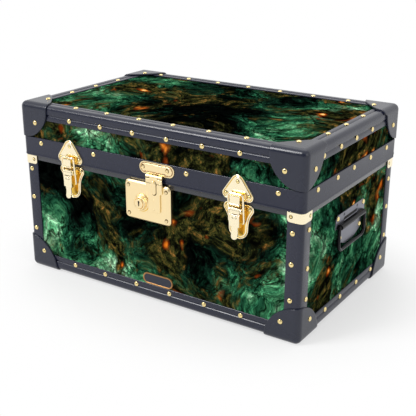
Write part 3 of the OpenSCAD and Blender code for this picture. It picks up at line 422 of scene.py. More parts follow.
@dataclass
class Shell:
    """A closed surface, drawn to the right, up and out until it is put on a side."""

    points: Points
    faces: Faces

    def moved(self, right: float, up: float, out: float = 0.0) -> Shell:
        """Gives the surface at another place."""
        return Shell(self.points + (right, up, out), self.faces)

    def on(self, face: Face, level: float = 0.0) -> Shell:
        """Gives the surface on a side of the box."""
        return Shell(face.place(self.points, level), self.faces)


def ring_round(circles: Sequence[Triple], steps: int = 96) -> Points:
    """Draws the outline of a band stretched round circles.

    Args:
        circles: each circle's place and radius.
        steps: how many points the outline has.

    Returns:
        The outline, counter-clockwise.
    """
    turn = np.arange(steps) * 2 * math.pi / steps
    out = np.stack([np.cos(turn), np.sin(turn)], axis=1)
    table = np.array(circles, float)
    outermost = np.argmax(out @ table[:, :2].T + table[:, 2], axis=1)
    return table[outermost, :2] + table[outermost, 2:] * out


def skin(rings: Sequence[Points], loop: bool = False) -> Shell:
    """Joins rings of points into a closed surface.

    Args:
        rings: the rings, all with the same number of points.
        loop: True joins the last ring to the first. False closes both ends with a face.

    Returns:
        The surface.
    """
    count, total = len(rings[0]), len(rings)
    faces: Faces = []
    for i in range(total if loop else total - 1):
        near, far = i * count, (i + 1) % total * count
        for j in range(count):
            k = (j + 1) % count
            faces.append([near + j, near + k, far + k, far + j])
    if not loop:
        faces += [list(range(count))[::-1], [(total - 1) * count + j for j in range(count)]]
    return Shell(np.concatenate(rings), faces)


def inset(outline: Points, by: float) -> Points:
    """Moves a closed outline inwards.

    Args:
        outline: its points, counter-clockwise.
        by: how far it moves.

    Returns:
        The moved outline.
    """
    step = np.roll(outline, -1, axis=0) - outline
    step = step / np.linalg.norm(step, axis=1, keepdims=True)
    out = np.column_stack([step[:, 1], -step[:, 0]])
    near = np.roll(out, 1, axis=0)
    return outline - by * (out + near) / (1 + (out * near).sum(axis=1))[:, None]


def plate(outline: Points, profile: Line, loop: bool = False) -> Shell:
    """Makes a pressed plate from its outline and the section of its edge.

    Args:
        outline: the outline, counter-clockwise.
        profile: the edge's inset and height, from the foot up and in.
        loop: True closes the section, for a ring.

    Returns:
        The plate.
    """
    levels = [np.full((len(outline), 1), height) for _, height in profile]
    return skin([np.hstack([inset(outline, p[0]), z]) for p, z in zip(profile, levels)], loop)


def prism(outline: Line, low: float, high: float, along: int = 2) -> Shell:
    """Stretches a closed outline along one of the directions right, up and out."""
    flat = np.asarray(outline, float)
    return skin([np.insert(flat, along, stop, axis=1) for stop in (low, high)])


def block(wide: Pair, tall: Pair, low: float, high: float, along: int = 2) -> Shell:
    """Makes a prism with an oblong outline."""
    (a, b), (c, d) = wide, tall
    return prism([(a, c), (b, c), (b, d), (a, d)], low, high, along)


def arc(
    x: float, y: float, radius: float, start: float, stop: float, steps: int = 16
) -> list[Pair]:
    """Gives points on an arc between two angles in degrees."""
    turns = np.radians(np.linspace(start, stop, steps + 1))
    return [(x + radius * math.cos(a), y + radius * math.sin(a)) for a in turns]


def mirrored(right: Line, skip: int = 0) -> Points:
    """Completes an outline with its left half, but for the first few points of the right one."""
    return np.array([*right, *((-x, y) for x, y in reversed(right[skip:]))])


def lathe(profile: Line, steps: int = 64) -> Shell:
    """Turns a closed profile of radius and height about the outward direction."""
    ways = [(math.cos(t), math.sin(t)) for t in (2 * math.pi * k / steps for k in range(steps))]
    return skin([np.array([(r * c, r * s, h) for r, h in profile]) for c, s in ways], loop=True)


def disc(radius: float, low: float, high: float, steps: int = 28) -> Shell:
    """Makes a round disc between two heights."""
    return lathe([(0, low), (radius, low), (radius, high), (0, high)], steps)


def tube(low: float, high: float, place: Pair, radius: float, bore: float) -> Shell:
    """Makes a tube that lies to the right, with eased rims.

    Args:
        low: where it starts.
        high: where it ends.
        place: its axis, as distances up and out.
        radius: its outer radius.
        bore: the radius of its bore.

    Returns:
        The tube.
    """
    ease, lip = 0.25, radius - 0.25
    outer = [(lip, low), (radius, low + ease), (radius, high - ease), (lip, high)]
    shell = lathe([(bore, low), *outer, (bore, high)], 40)
    return Shell(shell.points[:, [2, 0, 1]] + (0, *place), shell.faces)


def joined(parts: Sequence[Shell]) -> Shell:
    """Puts several surfaces into one.

    Args:
        parts: the surfaces.

    Returns:
        The surface that holds them all.
    """
    faces: Faces = []
    start = 0
    for part in parts:
        faces += [[start + i for i in face] for face in part.faces]
        start += len(part.points)
    return Shell(np.concatenate([part.points for part in parts]), faces)


@dataclass
class Bench:
    """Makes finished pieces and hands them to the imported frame."""

    nodes: dict[str, Piece]

    def coat(self, piece: Piece, surface: Surface) -> None:
        """Gives a piece its material."""
        piece.data.materials.clear()
        piece.data.materials.append(surface.material())

    def paint(self, surface: Surface, *names: str) -> None:
        """Gives CAD nodes a finish.

        Args:
            surface: the finish.
            names: the nodes.
        """
        for name in names:
            self.coat(self.nodes[name], surface)

    def hand_over(self, piece: Piece, body: str, surface: Surface, *stands_for: str) -> None:
        """Gives a piece its finish and its body.

        Args:
            piece: the piece, in place.
            body: the CAD body that it moves with.
            surface: its finish.
            stands_for: the CAD nodes that it is shown for.
        """
        if surface.value.metallic:
            # leans the shading towards the large faces, so that they look flat
            self.apply(piece, "WEIGHTED_NORMAL", keep_sharp=True, weight=90)
        self.coat(piece, surface)
        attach(piece, body)
        if stands_for:
            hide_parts(*stands_for)
        LOG.info("%s rides on %s", piece.name, body)

    def shape(self, name: str, shell: Shell, sharp: float = SHARP) -> Piece:
        """Makes a mesh piece.

        Args:
            name: the piece's name.
            shell: its surface in the row frame.
            sharp: the angle in degrees past which an edge stays sharp.

        Returns:
            The object, with smooth shading.
        """
        mesh = bpy.data.meshes.new(name)
        mesh.from_pydata((shell.points * MM).tolist(), [], shell.faces)
        work = bmesh.new()
        work.from_mesh(mesh)
        bmesh.ops.remove_doubles(work, verts=work.verts, dist=MERGE)
        bmesh.ops.recalc_face_normals(work, faces=work.faces)
        work.to_mesh(mesh)
        work.free()
        return self.smooth(put(name, mesh), sharp)

    def make(
        self,
        name: str,
        body: str,
        surface: Surface,
        shell: Shell,
        *nodes: str,
        sharp: float = SHARP,
    ) -> None:
        """Makes a mesh piece and hands it over."""
        self.hand_over(self.shape(name, shell, sharp), body, surface, *nodes)

    def smooth(self, piece: Piece, sharp: float) -> Piece:
        """Shades a piece smoothly but for its sharp edges.

        Args:
            piece: the piece.
            sharp: the angle in degrees past which an edge is sharp.

        Returns:
            The piece.
        """
        piece.data.polygons.foreach_set("use_smooth", [True] * len(piece.data.polygons))
        piece.data.set_sharp_from_angle(angle=math.radians(sharp))
        return piece

    def apply(
        self, piece: Piece, kind: str, sizes: dict[str, Any] | None = None, **settings: Any
    ) -> None:
        """Keeps what a modifier makes of a piece as its plain mesh.

        Args:
            piece: the piece.
            kind: the modifier's type.
            sizes: the values of a Geometry Nodes tree's named inputs.
            settings: the modifier's own settings.
        """
        modifier = piece.modifiers.new(kind.lower(), kind)
        for name, value in settings.items():
            setattr(modifier, name, value)
        if sizes:
            for socket in modifier.node_group.interface.items_tree:
                if socket.name in sizes:
                    modifier[socket.identifier] = sizes[socket.name]
        evaluated = piece.evaluated_get(bpy.context.evaluated_depsgraph_get())
        made = bpy.data.meshes.new_from_object(evaluated)
        piece.modifiers.clear()
        piece.data = made

    def eased(self, name: str, width: float) -> Piece:
        """Copies a CAD node with its sharp edges eased.

        Args:
            name: the node.
            width: how far an edge is eased.

        Returns:
            The copy, which isn't handed over yet.
        """
        mesh = self.nodes[name].data.copy()
        mesh.materials.clear()
        if mesh.has_custom_normals:
            mesh.normals_split_custom_set([(0.0, 0.0, 0.0)] * len(mesh.loops))
        return self.ease(put(name + "_eased", mesh), width)

    def ease(self, piece: Piece, width: float, sharp: float = 30.0) -> Piece:
        """Eases a piece's sharp edges.

        Args:
            piece: the piece.
            width: how far an edge is eased.
            sharp: the angle in degrees past which an edge is eased.

        Returns:
            The piece.
        """
        work = bmesh.new()
        work.from_mesh(piece.data)
        bmesh.ops.remove_doubles(work, verts=work.verts, dist=MERGE)
        flat, limit = math.radians(0.5), math.radians(sharp)
        every = {"verts": work.verts, "edges": work.edges}
        bmesh.ops.dissolve_limit(work, angle_limit=flat, use_dissolve_boundaries=False, **every)
        edges = [e for e in work.edges if len(e.link_faces) == 2 and e.calc_face_angle() > limit]
        settings = {"segments": 2, "profile": 0.5, "affect": "EDGES", "clamp_overlap": True}
        bmesh.ops.bevel(work, geom=edges, offset=width * MM, **settings)
        work.to_mesh(piece.data)
        work.free()
        return self.smooth(piece, EASED_SHARP)

    def carve(self, piece: Piece, cutter: Shell) -> None:
        """Cuts a shape out of a piece.

        Args:
            piece: the piece.
            cutter: the shape.
        """
        tool = self.shape("cutter", cutter)
        self.apply(piece, "BOOLEAN", object=tool, solver="EXACT")
        bpy.data.objects.remove(tool)
        self.smooth(piece, SHARP)


def open_tree(title: str, *sizes: str) -> tuple[Tree, Node]:
    """Starts a Geometry Nodes tree with inputs for its geometry, sizes and metal.

    Args:
        title: the tree's name.
        sizes: the names of its sizes.

    Returns:
        The tree and its input node.
    """
    tree = bpy.data.node_groups.new(title, "GeometryNodeTree")
    kinds = {"Geometry": "Geometry", **dict.fromkeys(sizes, "Float"), "Metal": "Material"}
    for name, kind in kinds.items():
        tree.interface.new_socket(name, in_out="INPUT", socket_type="NodeSocket" + kind)
    tree.interface.new_socket("Geometry", in_out="OUTPUT", socket_type="NodeSocketGeometry")
    return tree, add(tree, "NodeGroupInput")


def close_tree(tree: Tree, grown: Node, given: Node) -> Tree:
    """Ends a tree with real, smooth geometry and its material.

    Args:
        tree: the tree.
        grown: the node that gives the geometry so far.
        given: the tree's input node.

    Returns:
        The tree.
    """
    real = add(tree, "GeometryNodeRealizeInstances", {0: grown})
    even = add(tree, "GeometryNodeSetShadeSmooth", {"Geometry": real})
    last = {"Geometry": even, "Material": given.outputs["Metal"]}
    add(tree, "NodeGroupOutput", {0: add(tree, "GeometryNodeSetMaterial", last)})
    return tree


def heads_tree() -> Tree:
    """Makes the tree that sets a domed head on every point, facing the way it stores.

    Returns:
        The tree.
    """
    tree, given = open_tree("domed heads", "Head radius", "Head height")
    radius, height = given.outputs["Head radius"], given.outputs["Head height"]
    ball = add(tree, "GeometryNodeMeshUVSphere", {"Segments": 24, "Rings": 14, "Radius": 1.0})
    spot = add(tree, "GeometryNodeInputPosition")
    upper = add(tree, "VectorMath", {0: spot, 1: (-9, -9, 0)}, operation="MAXIMUM")
    size = add(tree, "CombineXYZ", {0: radius, 1: radius, 2: height})
    scaled = add(tree, "VectorMath", {0: upper, 1: size}, operation="MULTIPLY")
    head = add(tree, "GeometryNodeSetPosition", {"Geometry": ball, "Position": scaled})
    named = "GeometryNodeInputNamedAttribute"
    facing = add(tree, named, {"Name": "outward"}, data_type="FLOAT_VECTOR")
    turned = add(tree, "FunctionNodeAlignRotationToVector", {"Vector": facing}, axis="Z")
    setting = {"Points": given.outputs["Geometry"], "Instance": head, "Rotation": turned}
    return close_tree(tree, add(tree, "GeometryNodeInstanceOnPoints", setting), given)


def bar_tree() -> Tree:
    """Makes the tree that draws a round bar along a path of edges.

    Returns:
        The tree.
    """
    tree, given = open_tree("bent bar", "Bar radius")
    path = add(tree, "GeometryNodeMeshToCurve", {"Mesh": given.outputs["Geometry"]})
    size = {"Resolution": 24, "Radius": given.outputs["Bar radius"]}
    circle = add(tree, "GeometryNodeCurvePrimitiveCircle", size)
    sweep = {"Curve": path, "Profile Curve": circle, "Fill Caps": True}
    return close_tree(tree, add(tree, "GeometryNodeCurveToMesh", sweep), given)


@dataclass(frozen=True)
class BoxSizes:
    """The sizes that the sub-assemblies share."""

    half_w: float = 255.0
    half_d: float = 160.0
    top: float = 285.0
    joint: float = 204.0
    lid_out: float = 1.0
    floor_gap: float = 2.5
    band_out: float = 2.0


BOX = BoxSizes()


@dataclass
class Carcase:
    """The plywood panels with their covering and lining."""

    bench: Bench

    def build(self) -> None:
        """Gives each panel and sheet its finish."""
        for part in ("body", "lid"):
            self.bench.paint(Surface.PLY_Y, f"{part}_front_panel", f"{part}_back_panel")
            self.bench.paint(Surface.PLY_X, f"{part}_left_panel", f"{part}_right_panel")
            self.bench.paint(Surface.PRINT, f"{part}_covering")
            self.bench.paint(Surface.LINING, f"{part}_lining")
        self.bench.paint(Surface.PLY_Z, "floor_panel", "lid_top_panel")


@dataclass
class Trim:
    """The bindings, the posts, the lid's band and the body's rim strip."""

    bench: Bench
    leg: float = 24.5
    deep: float = 2.0
    edge_r: float = 7.0
    # where the legs' inner faces meet, and how far the long bindings end from the corner
    inner: float = 3.5
    stop: float = 7.0
    drop: float = 0.6
    post_span: Pair = (27.0, 193.0)
    rim_span: Pair = (191.4, 203.7)
    rim_half: Pair = (254.2, 159.2)
    rim_r: float = 4.0
    band_top: float = 230.0
    band_low: float = 199.0
    band_r: float = 9.0

    def section(self, leg_profile: Line) -> list[Pair]:
        """Draws an angle strip's section.

        Args:
            leg_profile: one leg's outside, from its free edge to the corner.

        Returns:
            The closed outline, as distances from the corner of the box.
        """
        r = self.edge_r
        turns = [math.pi / 2 * k / 12 for k in range(13)]
        edge = [(r - r * math.sin(t), r - r * math.cos(t)) for t in turns]
        back = [(y, x) for x, y in reversed(leg_profile)]
        return [*leg_profile, *edge, *back, (self.deep, self.inner), (self.inner, self.deep)]

    def binding_leg(self) -> list[Pair]:
        """Gives a binding's leg: a lipped nail strip, a groove and the raised bead.

        Returns:
            The leg's outside, from its free edge.
        """
        leg, drop = self.leg, self.drop
        strip = [(leg, self.deep), (leg, drop + 0.5), (leg - 0.3, drop + 0.1)]
        strip += [(leg - 1, drop - 0.15), (leg - 2.2, drop - 0.2), (leg - 4, drop - 0.3)]
        bead = [(17.6, drop - 0.05), (17, drop + 0.15), (16.4, drop + 0.6), (15.7, drop + 0.85)]
        bead += [(15, drop + 0.85), (14.5, drop + 0.5), (14, 0.45), (13.4, 0.15), (12.4, 0)]
        return strip + bead

    def edge_bar(self, along: int, reach: float, side: float, level: float, up: int) -> Shell:
        """Runs the binding's section along an edge of the box.

        Args:
            along: the axis that it runs along, 0 or 1.
            reach: half its length.
            side: the place of its outer face on the other axis.
            level: the height of its outer flat face.
            up: 1 if its upright leg rises from there, -1 if it falls.

        Returns:
            The bar.
        """
        section = np.array(self.section(self.binding_leg()))
        rings = []
        for stop in (-reach, reach):
            ring = np.full((len(section), 3), stop)
            ring[:, 1 - along] = side - math.copysign(1, side) * section[:, 1]
            ring[:, 2] = level + up * section[:, 0]
            rings.append(ring)
        return skin(rings)

    def bindings(self) -> None:
        """Makes the base and lid bindings."""
        body_w, body_d = BOX.half_w, BOX.half_d
        lid_w, lid_d = body_w + BOX.lid_out, body_d + BOX.lid_out
        runs = {
            "base_bindings_long": ("box", 0, body_w - self.stop, body_d, BOX.floor_gap, 1),
            "base_bindings_short": ("box", 1, body_d - self.leg, body_w, BOX.floor_gap, 1),
            "lid_bindings_long": ("lid", 0, body_w - self.stop, lid_d, BOX.top, -1),
            "lid_bindings_short": ("lid", 1, lid_d - self.leg, lid_w, BOX.top, -1),
        }
        for node, (body, along, reach, side, level, up) in runs.items():
            bars = joined([self.edge_bar(along, reach, s * side, level, up) for s in BOTH])
            self.bench.make(node + "_trim", body, Surface.BINDING, bars, node)

    def posts(self) -> None:
        """Makes the four corner posts, flat with an eased free edge."""
        leg = self.leg
        profile = [(leg, self.deep), (leg, 0.7), (leg - 0.25, 0.25), (leg - 0.8, 0)]
        outline = np.array(self.section(profile))
        bars = []
        for corner in CORNERS:
            flat = corner * ((BOX.half_w, BOX.half_d) - outline)
            bars.append(prism(flat, *self.post_span))
        self.bench.make("post_bindings_trim", "box", Surface.BINDING, joined(bars), "post_bindings")

    def hoop(self, half: Pair, radius: float, section: Line, back: Line | None = None) -> Shell:
        """Runs a section round the box.

        Args:
            half: half the hoop's width and depth over its outer face.
            radius: its outer corner radius.
            section: the section, as distances in from the outer face and heights.
            back: the section along the back, if it differs.

        Returns:
            The hoop.
        """
        rings = []
        steps = 10
        x, y = half[0] - radius, half[1] - radius
        for k, (sx, sy) in enumerate(((1, 1), (-1, 1), (-1, -1), (1, -1))):
            for j in range(steps + 1):
                turn = math.pi / 2 * (k + j / steps)
                out = np.array([math.cos(turn), math.sin(turn), 0])
                middle = np.array([sx * x, sy * y, 0])
                shapes = [back if back and sy > 0 else section]
                if back and (k, j) in ((0, 0), (1, steps)):
                    shapes = [section, back] if k == 0 else [back, section]
                for shape in shapes:
                    ring = [middle + (radius - d) * out + (0, 0, z) for d, z in shape]
                    rings.append(np.array(ring))
        return skin(rings, loop=True)

    def band_section(self, low: float) -> list[Pair]:
        """Draws the band's section: a flat face with a rolled lower lip.

        Args:
            low: the height of its lower edge.

        Returns:
            The section.
        """
        top = self.band_top
        upper = [(3, top), (0.9, top), (0.35, top - 0.15), (0.08, top - 0.5), (0, top - 1.2)]
        lip = [(0, 3.9), (-0.15, 3.3), (-0.4, 2.5), (-0.5, 1.7), (-0.35, 0.8), (0.15, 0.2)]
        foot = [(0.9, low), (2.5, low), (2.5, BOX.joint), (3, BOX.joint)]
        return [*upper, *((d, low + z) for d, z in lip), *foot]

    def build(self) -> None:
        """Makes every strip: the lid's band has no skirt along the back."""
        self.bindings()
        self.posts()
        half = (BOX.half_w + BOX.band_out, BOX.half_d + BOX.band_out)
        sections = [self.band_section(low) for low in (self.band_low, BOX.joint)]
        band = self.hoop(half, self.band_r, *sections)
        self.bench.make("lid_band_trim", "lid", Surface.BINDING, band, "lid_band")
        low, top = self.rim_span
        section = [(1.2, top), (0.3, top), (0, top - 0.3), (0, low + 0.5), (0.15, low + 0.1)]
        section += [(0.4, low), (1.2, low)]
        strip = self.hoop(self.rim_half, self.rim_r, section)
        self.bench.make("rim_strip_trim", "box", Surface.RIM, strip, "rim_strip")


@dataclass
class CornerCaps:
    """The pressed steel caps on the eight corners."""

    bench: Bench
    thick: float = 2.5
    edge_r: float = 9.5
    base_reach: float = 57.5
    base_end_reach: float = 60.9
    lid_reach: float = 57.0
    lid_top_reach: float = 61.0
    lid_end_reach: float = 54.0
    lid_slant: Pair = (49 / 3395, 43 / 3395)
    lid_round: float = 60.3
    # the higher the power, the tighter the bend between two straight sides of a lobe
    top_power: int = 14
    front_power: int = 40
    blend_power: int = 8
    # how much closer the directions stand near a lobe's two ends
    crowding: float = 0.12

    def base_lobes(self, turn: Points) -> list[Points]:
        """Gives the reach of a base cap's lobes on the end, the long side and below.

        Args:
            turn: the directions in a lobe.

        Returns:
            The reach of each lobe for each direction.
        """
        along, up = np.cos(turn), np.sin(turn)
        bottom = 1 / np.sqrt((along / self.base_reach) ** 2 + (up / self.base_end_reach) ** 2)
        sunk = self.base_end_reach - self.base_reach
        big = math.hypot(self.base_end_reach, sunk)
        end = -sunk * up + np.sqrt(np.maximum(big**2 - (sunk * along) ** 2, 0))
        end *= self.base_reach / end[-1] * up**2 + (1 - up**2)
        return [end, np.full_like(turn, self.base_reach), bottom]

    def lid_lobes(self, turn: Points) -> list[Points]:
        """Gives the reach of a lid cap's lobes: the top one is cut off at a slant.

        Args:
            turn: the directions in a lobe.

        Returns:
            The reach of each lobe for each direction.
        """
        along, up = np.cos(turn), np.sin(turn)
        # the top lobe's three straight sides, rounded where they meet
        sides = [(1 / self.lid_reach, 0), (0, 1 / self.lid_top_reach), self.lid_slant]
        power, blend = self.top_power, self.blend_power
        top = sum(np.maximum(a * along + b * up, 1e-6) ** power for a, b in sides) ** (-1 / power)
        miss = (self.lid_reach - top[0], self.lid_top_reach - top[-1])
        top = top + miss[0] * along**blend + miss[1] * up**blend
        end = 1 / np.hypot(along / self.lid_end_reach, up / self.lid_reach)
        ease = np.clip((np.degrees(turn) - 4.5) / 7, 0, 1)
        end += (self.lid_top_reach - self.lid_end_reach) * (1 - ease**2 * (3 - 2 * ease))
        # the long side's lobe is a square with its corner rounded off
        power = self.front_power
        flat = np.array([along, up]) / self.lid_reach
        front = ((flat**power).sum(axis=0) + self.lid_round**-power) ** (-1 / power)
        front *= self.lid_reach / front[0]
        return [end, front, top]

    def cap(self, corner: Triple, lobes: list[Points], turn: Points) -> Shell:
        """Makes one cap.

        Args:
            corner: the sharp outer corner that it is rounded from.
            lobes: the reach of the lobe on the face across each axis.
            turn: the directions in a lobe.

        Returns:
            The cap.
        """
        inwards = -np.sign(np.array(corner))
        if corner[2] < BOX.joint:
            inwards[2] = 1
        shares = [0, 0.02, 0.05, 0.08, 0.11, 0.14, 0.17, 0.2, 0.24, 0.29, 0.35]
        shares += [0.42, 0.49, 0.56, 0.63, 0.7, 0.77, 0.84, 0.9, 0.95]
        inner = self.thick - 0.05
        rows = [(share, 0, 0) for share in shares]
        rows += [(1, -0.9, 0), (1, -0.4, 0.1), (1, -0.1, 0.35), (1, 0, 0.7)]
        rows += [(1, 0.05, inner)] + [(share, 0, inner) for share in reversed(shares)]
        count = len(turn)
        starts = [i * count + j for i in range(len(rows) - 1) for j in range(count - 1)]
        faces = [[s, s + 1, s + count + 1, s + count] for s in starts]
        patches = []
        for axis, lobe in enumerate(lobes):
            grid = []
            for share, grow, down in rows:
                reach = lobe * share + grow
                sharp = np.column_stack([reach * np.cos(turn), reach * np.sin(turn)])
                sharp = np.insert(sharp, axis, 0, axis=1)
                core = np.maximum(sharp, self.edge_r)
                out = sharp - core
                out /= np.linalg.norm(out, axis=1, keepdims=True)
                grid.append(core + (self.edge_r - down) * out)
            patches.append(Shell(np.array(corner) + np.concatenate(grid) * inwards, faces))
        return joined(patches)

    def build(self) -> None:
        """Makes the caps of the base and of the lid."""
        even = np.linspace(0, 1, 49)
        turn = math.pi / 2 * (even - self.crowding * np.sin(2 * math.pi * even))
        for name, body, grow, z, lobes in (
            ("base_caps", "box", 0, 0, self.base_lobes(turn)),
            ("lid_caps", "lid", BOX.lid_out, BOX.top + self.thick, self.lid_lobes(turn)),
        ):
            x, y = BOX.half_w + self.thick + grow, BOX.half_d + self.thick + grow
            caps = joined([self.cap((sx * x, sy * y, z), lobes, turn) for sx, sy in CORNERS])
            self.bench.make(name + "_pressed", body, Surface.CAP, caps, name, sharp=ROUND_SHARP)


Spot = tuple[float, float, float, Face]
Run = tuple[Sequence[float], float, Sequence[float]]


def rows(sides: Sequence[tuple[int, Face]], *runs: Run) -> list[Spot]:
    """Lists spots on two opposite sides.

    Args:
        sides: each side's sign on its axis, and the side.
        runs: rows of spots: their places along, how far out they are, and their heights.

    Returns:
        The spots in the row frame with the sides that they face.
    """
    return [
        (along, sign * out, up, face) if sides is LONG_SIDES else (sign * out, along, up, face)
        for sign, face in sides
        for line, out, heights in runs
        for along in line
        for up in heights
    ]


@dataclass
class Nailing:
    """The domed nails and rivets, set by Geometry Nodes."""

    bench: Bench
    tree: Tree
    nail: Pair = (3.9, 2.1)
    rivet: Pair = (2.6, 1.2)
    clip_rivet: Pair = (1.95, 1.1)

    def set_heads(
        self, name: str, body: str, spots: Sequence[Spot], head: Pair, *stands_for: str
    ) -> None:
        """Sets a head on each spot.

        Args:
            name: the piece's name.
            body: the body that it rides on.
            spots: the heads' places in the row frame and the sides that they face.
            head: a head's radius and height.
            stands_for: the CAD nodes that the heads are shown for.
        """
        mesh = bpy.data.meshes.new(name)
        mesh.from_pydata([tuple(c * MM for c in spot[:3]) for spot in spots], [], [])
        outward = mesh.attributes.new("outward", "FLOAT_VECTOR", "POINT")
        ways = np.array([spot[3].value[2] for spot in spots], np.float32)
        outward.data.foreach_set("vector", ways.ravel())
        sizes = {"Head radius": head[0] * MM, "Head height": head[1] * MM}
        sizes["Metal"] = Surface.NAIL.material()
        piece = put(name, mesh)
        self.bench.apply(piece, "NODES", sizes, node_group=self.tree)
        self.bench.hand_over(piece, body, Surface.NAIL, *stands_for)

    def body_spots(self) -> list[Spot]:
        """Lists the body's nails.

        Returns:
            Their spots.
        """
        feet, edges = range(-160, 161, 64), (-73, -21, 40, 98)
        left, right = ((-243.5,), 160, (175, 126, 70)), ((239.5,), 160, (168, 122, 67))
        spots = rows(LONG_SIDES, (feet, 159.4, (20.5,)), ((-227, 227), 162.5, (32,)), left, right)
        near, far = ((-141,), 255, (171, 113, 66)), ((145,), 255, (165, 117, 66))
        return spots + rows(ENDS, (edges, 254.4, (20.5,)), ((-130, 130), 257.5, (31,)), near, far)

    def lid_spots(self) -> list[Spot]:
        """Lists the lid's nails.

        Returns:
            Their spots.
        """
        line, level = range(-155, 156, 62), 284.4
        spots = rows(LONG_SIDES, (line, 160.4, (267,)), ((-226, 226), 163.5, (255,)))
        spots += [(x, -162, 222, Face.FRONT) for x in (-217, -107, 67, 217)]
        spots += [(x, 162, 224, Face.BACK) for x in (-217, -70, 70, 217)]
        spots += [(x, -143, level, Face.TOP) for x in line]
        spots += [(x, 143, level, Face.TOP) for x in range(-201, 178, 63)]
        for x in (-238, 238):
            spots += [(x, y, level, Face.TOP) for y in (-60, 1, 62)]
        spots += [(x * 227.5, y * 128.5, 287.5, Face.TOP) for x, y in CORNERS]
        edges, caps = ((-107, -52, 1, 59), 255.4, (267,)), ((-137.5, 137.5), 258.5, (257,))
        return spots + rows(ENDS, edges, caps, ((-124, -61, -5, 56, 120), 257, (224,)))

    def build(self) -> None:
        """Sets every nail and rivet."""
        self.set_heads("body_nail_heads", "box", self.body_spots(), self.nail, "body_nails")
        self.set_heads("lid_nail_heads", "lid", self.lid_spots(), self.nail, "lid_nails")
        clips = rows(LONG_SIDES, ((-236.6, 236.6), 161, (192.1,)))
        clips += rows(ENDS, ((-141.6, 141.6), 256, (192.1,)))
        self.set_heads("clip_rivet_heads", "box", clips, self.clip_rivet)
        catch, strike = (
            [(x + dx, out, z, Face.FRONT) for x in (-154.5, 154.5) for dx, z in rivets]
            for out, rivets in ((-161, BASE_RIVETS), (-164, STRIKE_RIVETS))
        )
        self.set_heads("catch_rivet_heads", "box", catch, self.rivet, "catch_rivets")
        self.set_heads("strike_rivet_heads", "lid", strike, self.rivet, "strike_rivets")
        upper, lower = ((-45.75, 45.75), 254.6, (155.3,)), ((-35.5, 35.5), 254.6, (122.3,))
        handle = rows(ENDS, upper, lower)
        self.set_heads("handle_rivet_heads", "box", handle, self.nail, "handle_rivets")


@dataclass
class Bars:
    """The catches' wire loops and the handles' bails, drawn along their paths."""

    bench: Bench
    tree: Tree
    loop_place: Triple = (154.5, 168.0, 165.4)
    loop_half: float = 12.0
    loop_rise: float = 43.0
    loop_lean: float = 4.1
    wire_r: float = 1.6
    bail_place: Pair = (141.3, 257.8)
    bail_half: float = 45.75
    bail_drop: float = 36.8
    bail_r: float = 2.75

    def bent_path(self, half: float, drop: float, bend: float, turn: float, stub: float) -> Points:
        """Draws a U whose ends are turned in, hanging from the origin.

        Args:
            half: half the distance between its legs.
            drop: how far its bar hangs below its ends.
            bend: the radius of its lower bends.
            turn: the radius of the turns at its ends.
            stub: the length of its straight ends.

        Returns:
            The path, drawn right, up and out.
        """
        right = [(half - turn - stub, 0)]
        for angle in (math.pi / 2 * k / 8 for k in range(9)):
            right.append((half - turn + turn * math.sin(angle), turn * math.cos(angle) - turn))
        for angle in (math.pi / 2 * k / 12 for k in range(13)):
            x = half - bend + bend * math.cos(angle)
            right.append((x, bend - drop - bend * math.sin(angle)))
        return np.insert(mirrored(right), 2, 0, axis=1)

    def bar(
        self, name: str, path: Points, radius: float, body: str, surface: Surface, node: str
    ) -> None:
        """Makes a round bar along a path.

        Args:
            name: the piece's name.
            path: the path in the row frame.
            radius: the bar's radius.
            body: the body that it rides on.
            surface: its finish.
            node: the CAD node that it is shown for.
        """
        mesh = bpy.data.meshes.new(name)
        mesh.from_pydata((path * MM).tolist(), [(i, i + 1) for i in range(len(path) - 1)], [])
        sizes = {"Bar radius": radius * MM, "Metal": surface.material()}
        piece = put(name, mesh)
        self.bench.apply(piece, "NODES", sizes, node_group=self.tree)
        self.bench.hand_over(self.bench.smooth(piece, ROUND_SHARP), body, surface, node)

    def build(self) -> None:
        """Makes the loops and the bails."""
        rise, lean = self.loop_rise, self.loop_lean
        loop = self.bent_path(self.loop_half, math.hypot(rise, lean), 3.5, 2.1, 3.8) * (1, -1, 1)
        tilt = math.atan2(lean, rise)
        c, s = math.cos(tilt), math.sin(tilt)
        leaned = np.column_stack([loop[:, 0], loop[:, 1] * c, loop[:, 1] * s])
        bail = self.bent_path(self.bail_half, self.bail_drop, 11, 3.35, 14)
        for side, (sign, face) in zip(("left", "right"), ENDS):
            x, z, out = self.loop_place
            node = f"catch_loop_{side}"
            path = Face.FRONT.place(leaned + (sign * x, z, 0), out)
            self.bar(node + "_wire", path, self.wire_r, node, Surface.BRASS, node)
            z, out = self.bail_place
            node = f"handle_bail_{side}"
            path = face.place(bail + (0, z, 0), out)
            self.bar(node + "_bar", path, self.bail_r, f"bail_{side}", Surface.ENAMEL, node)


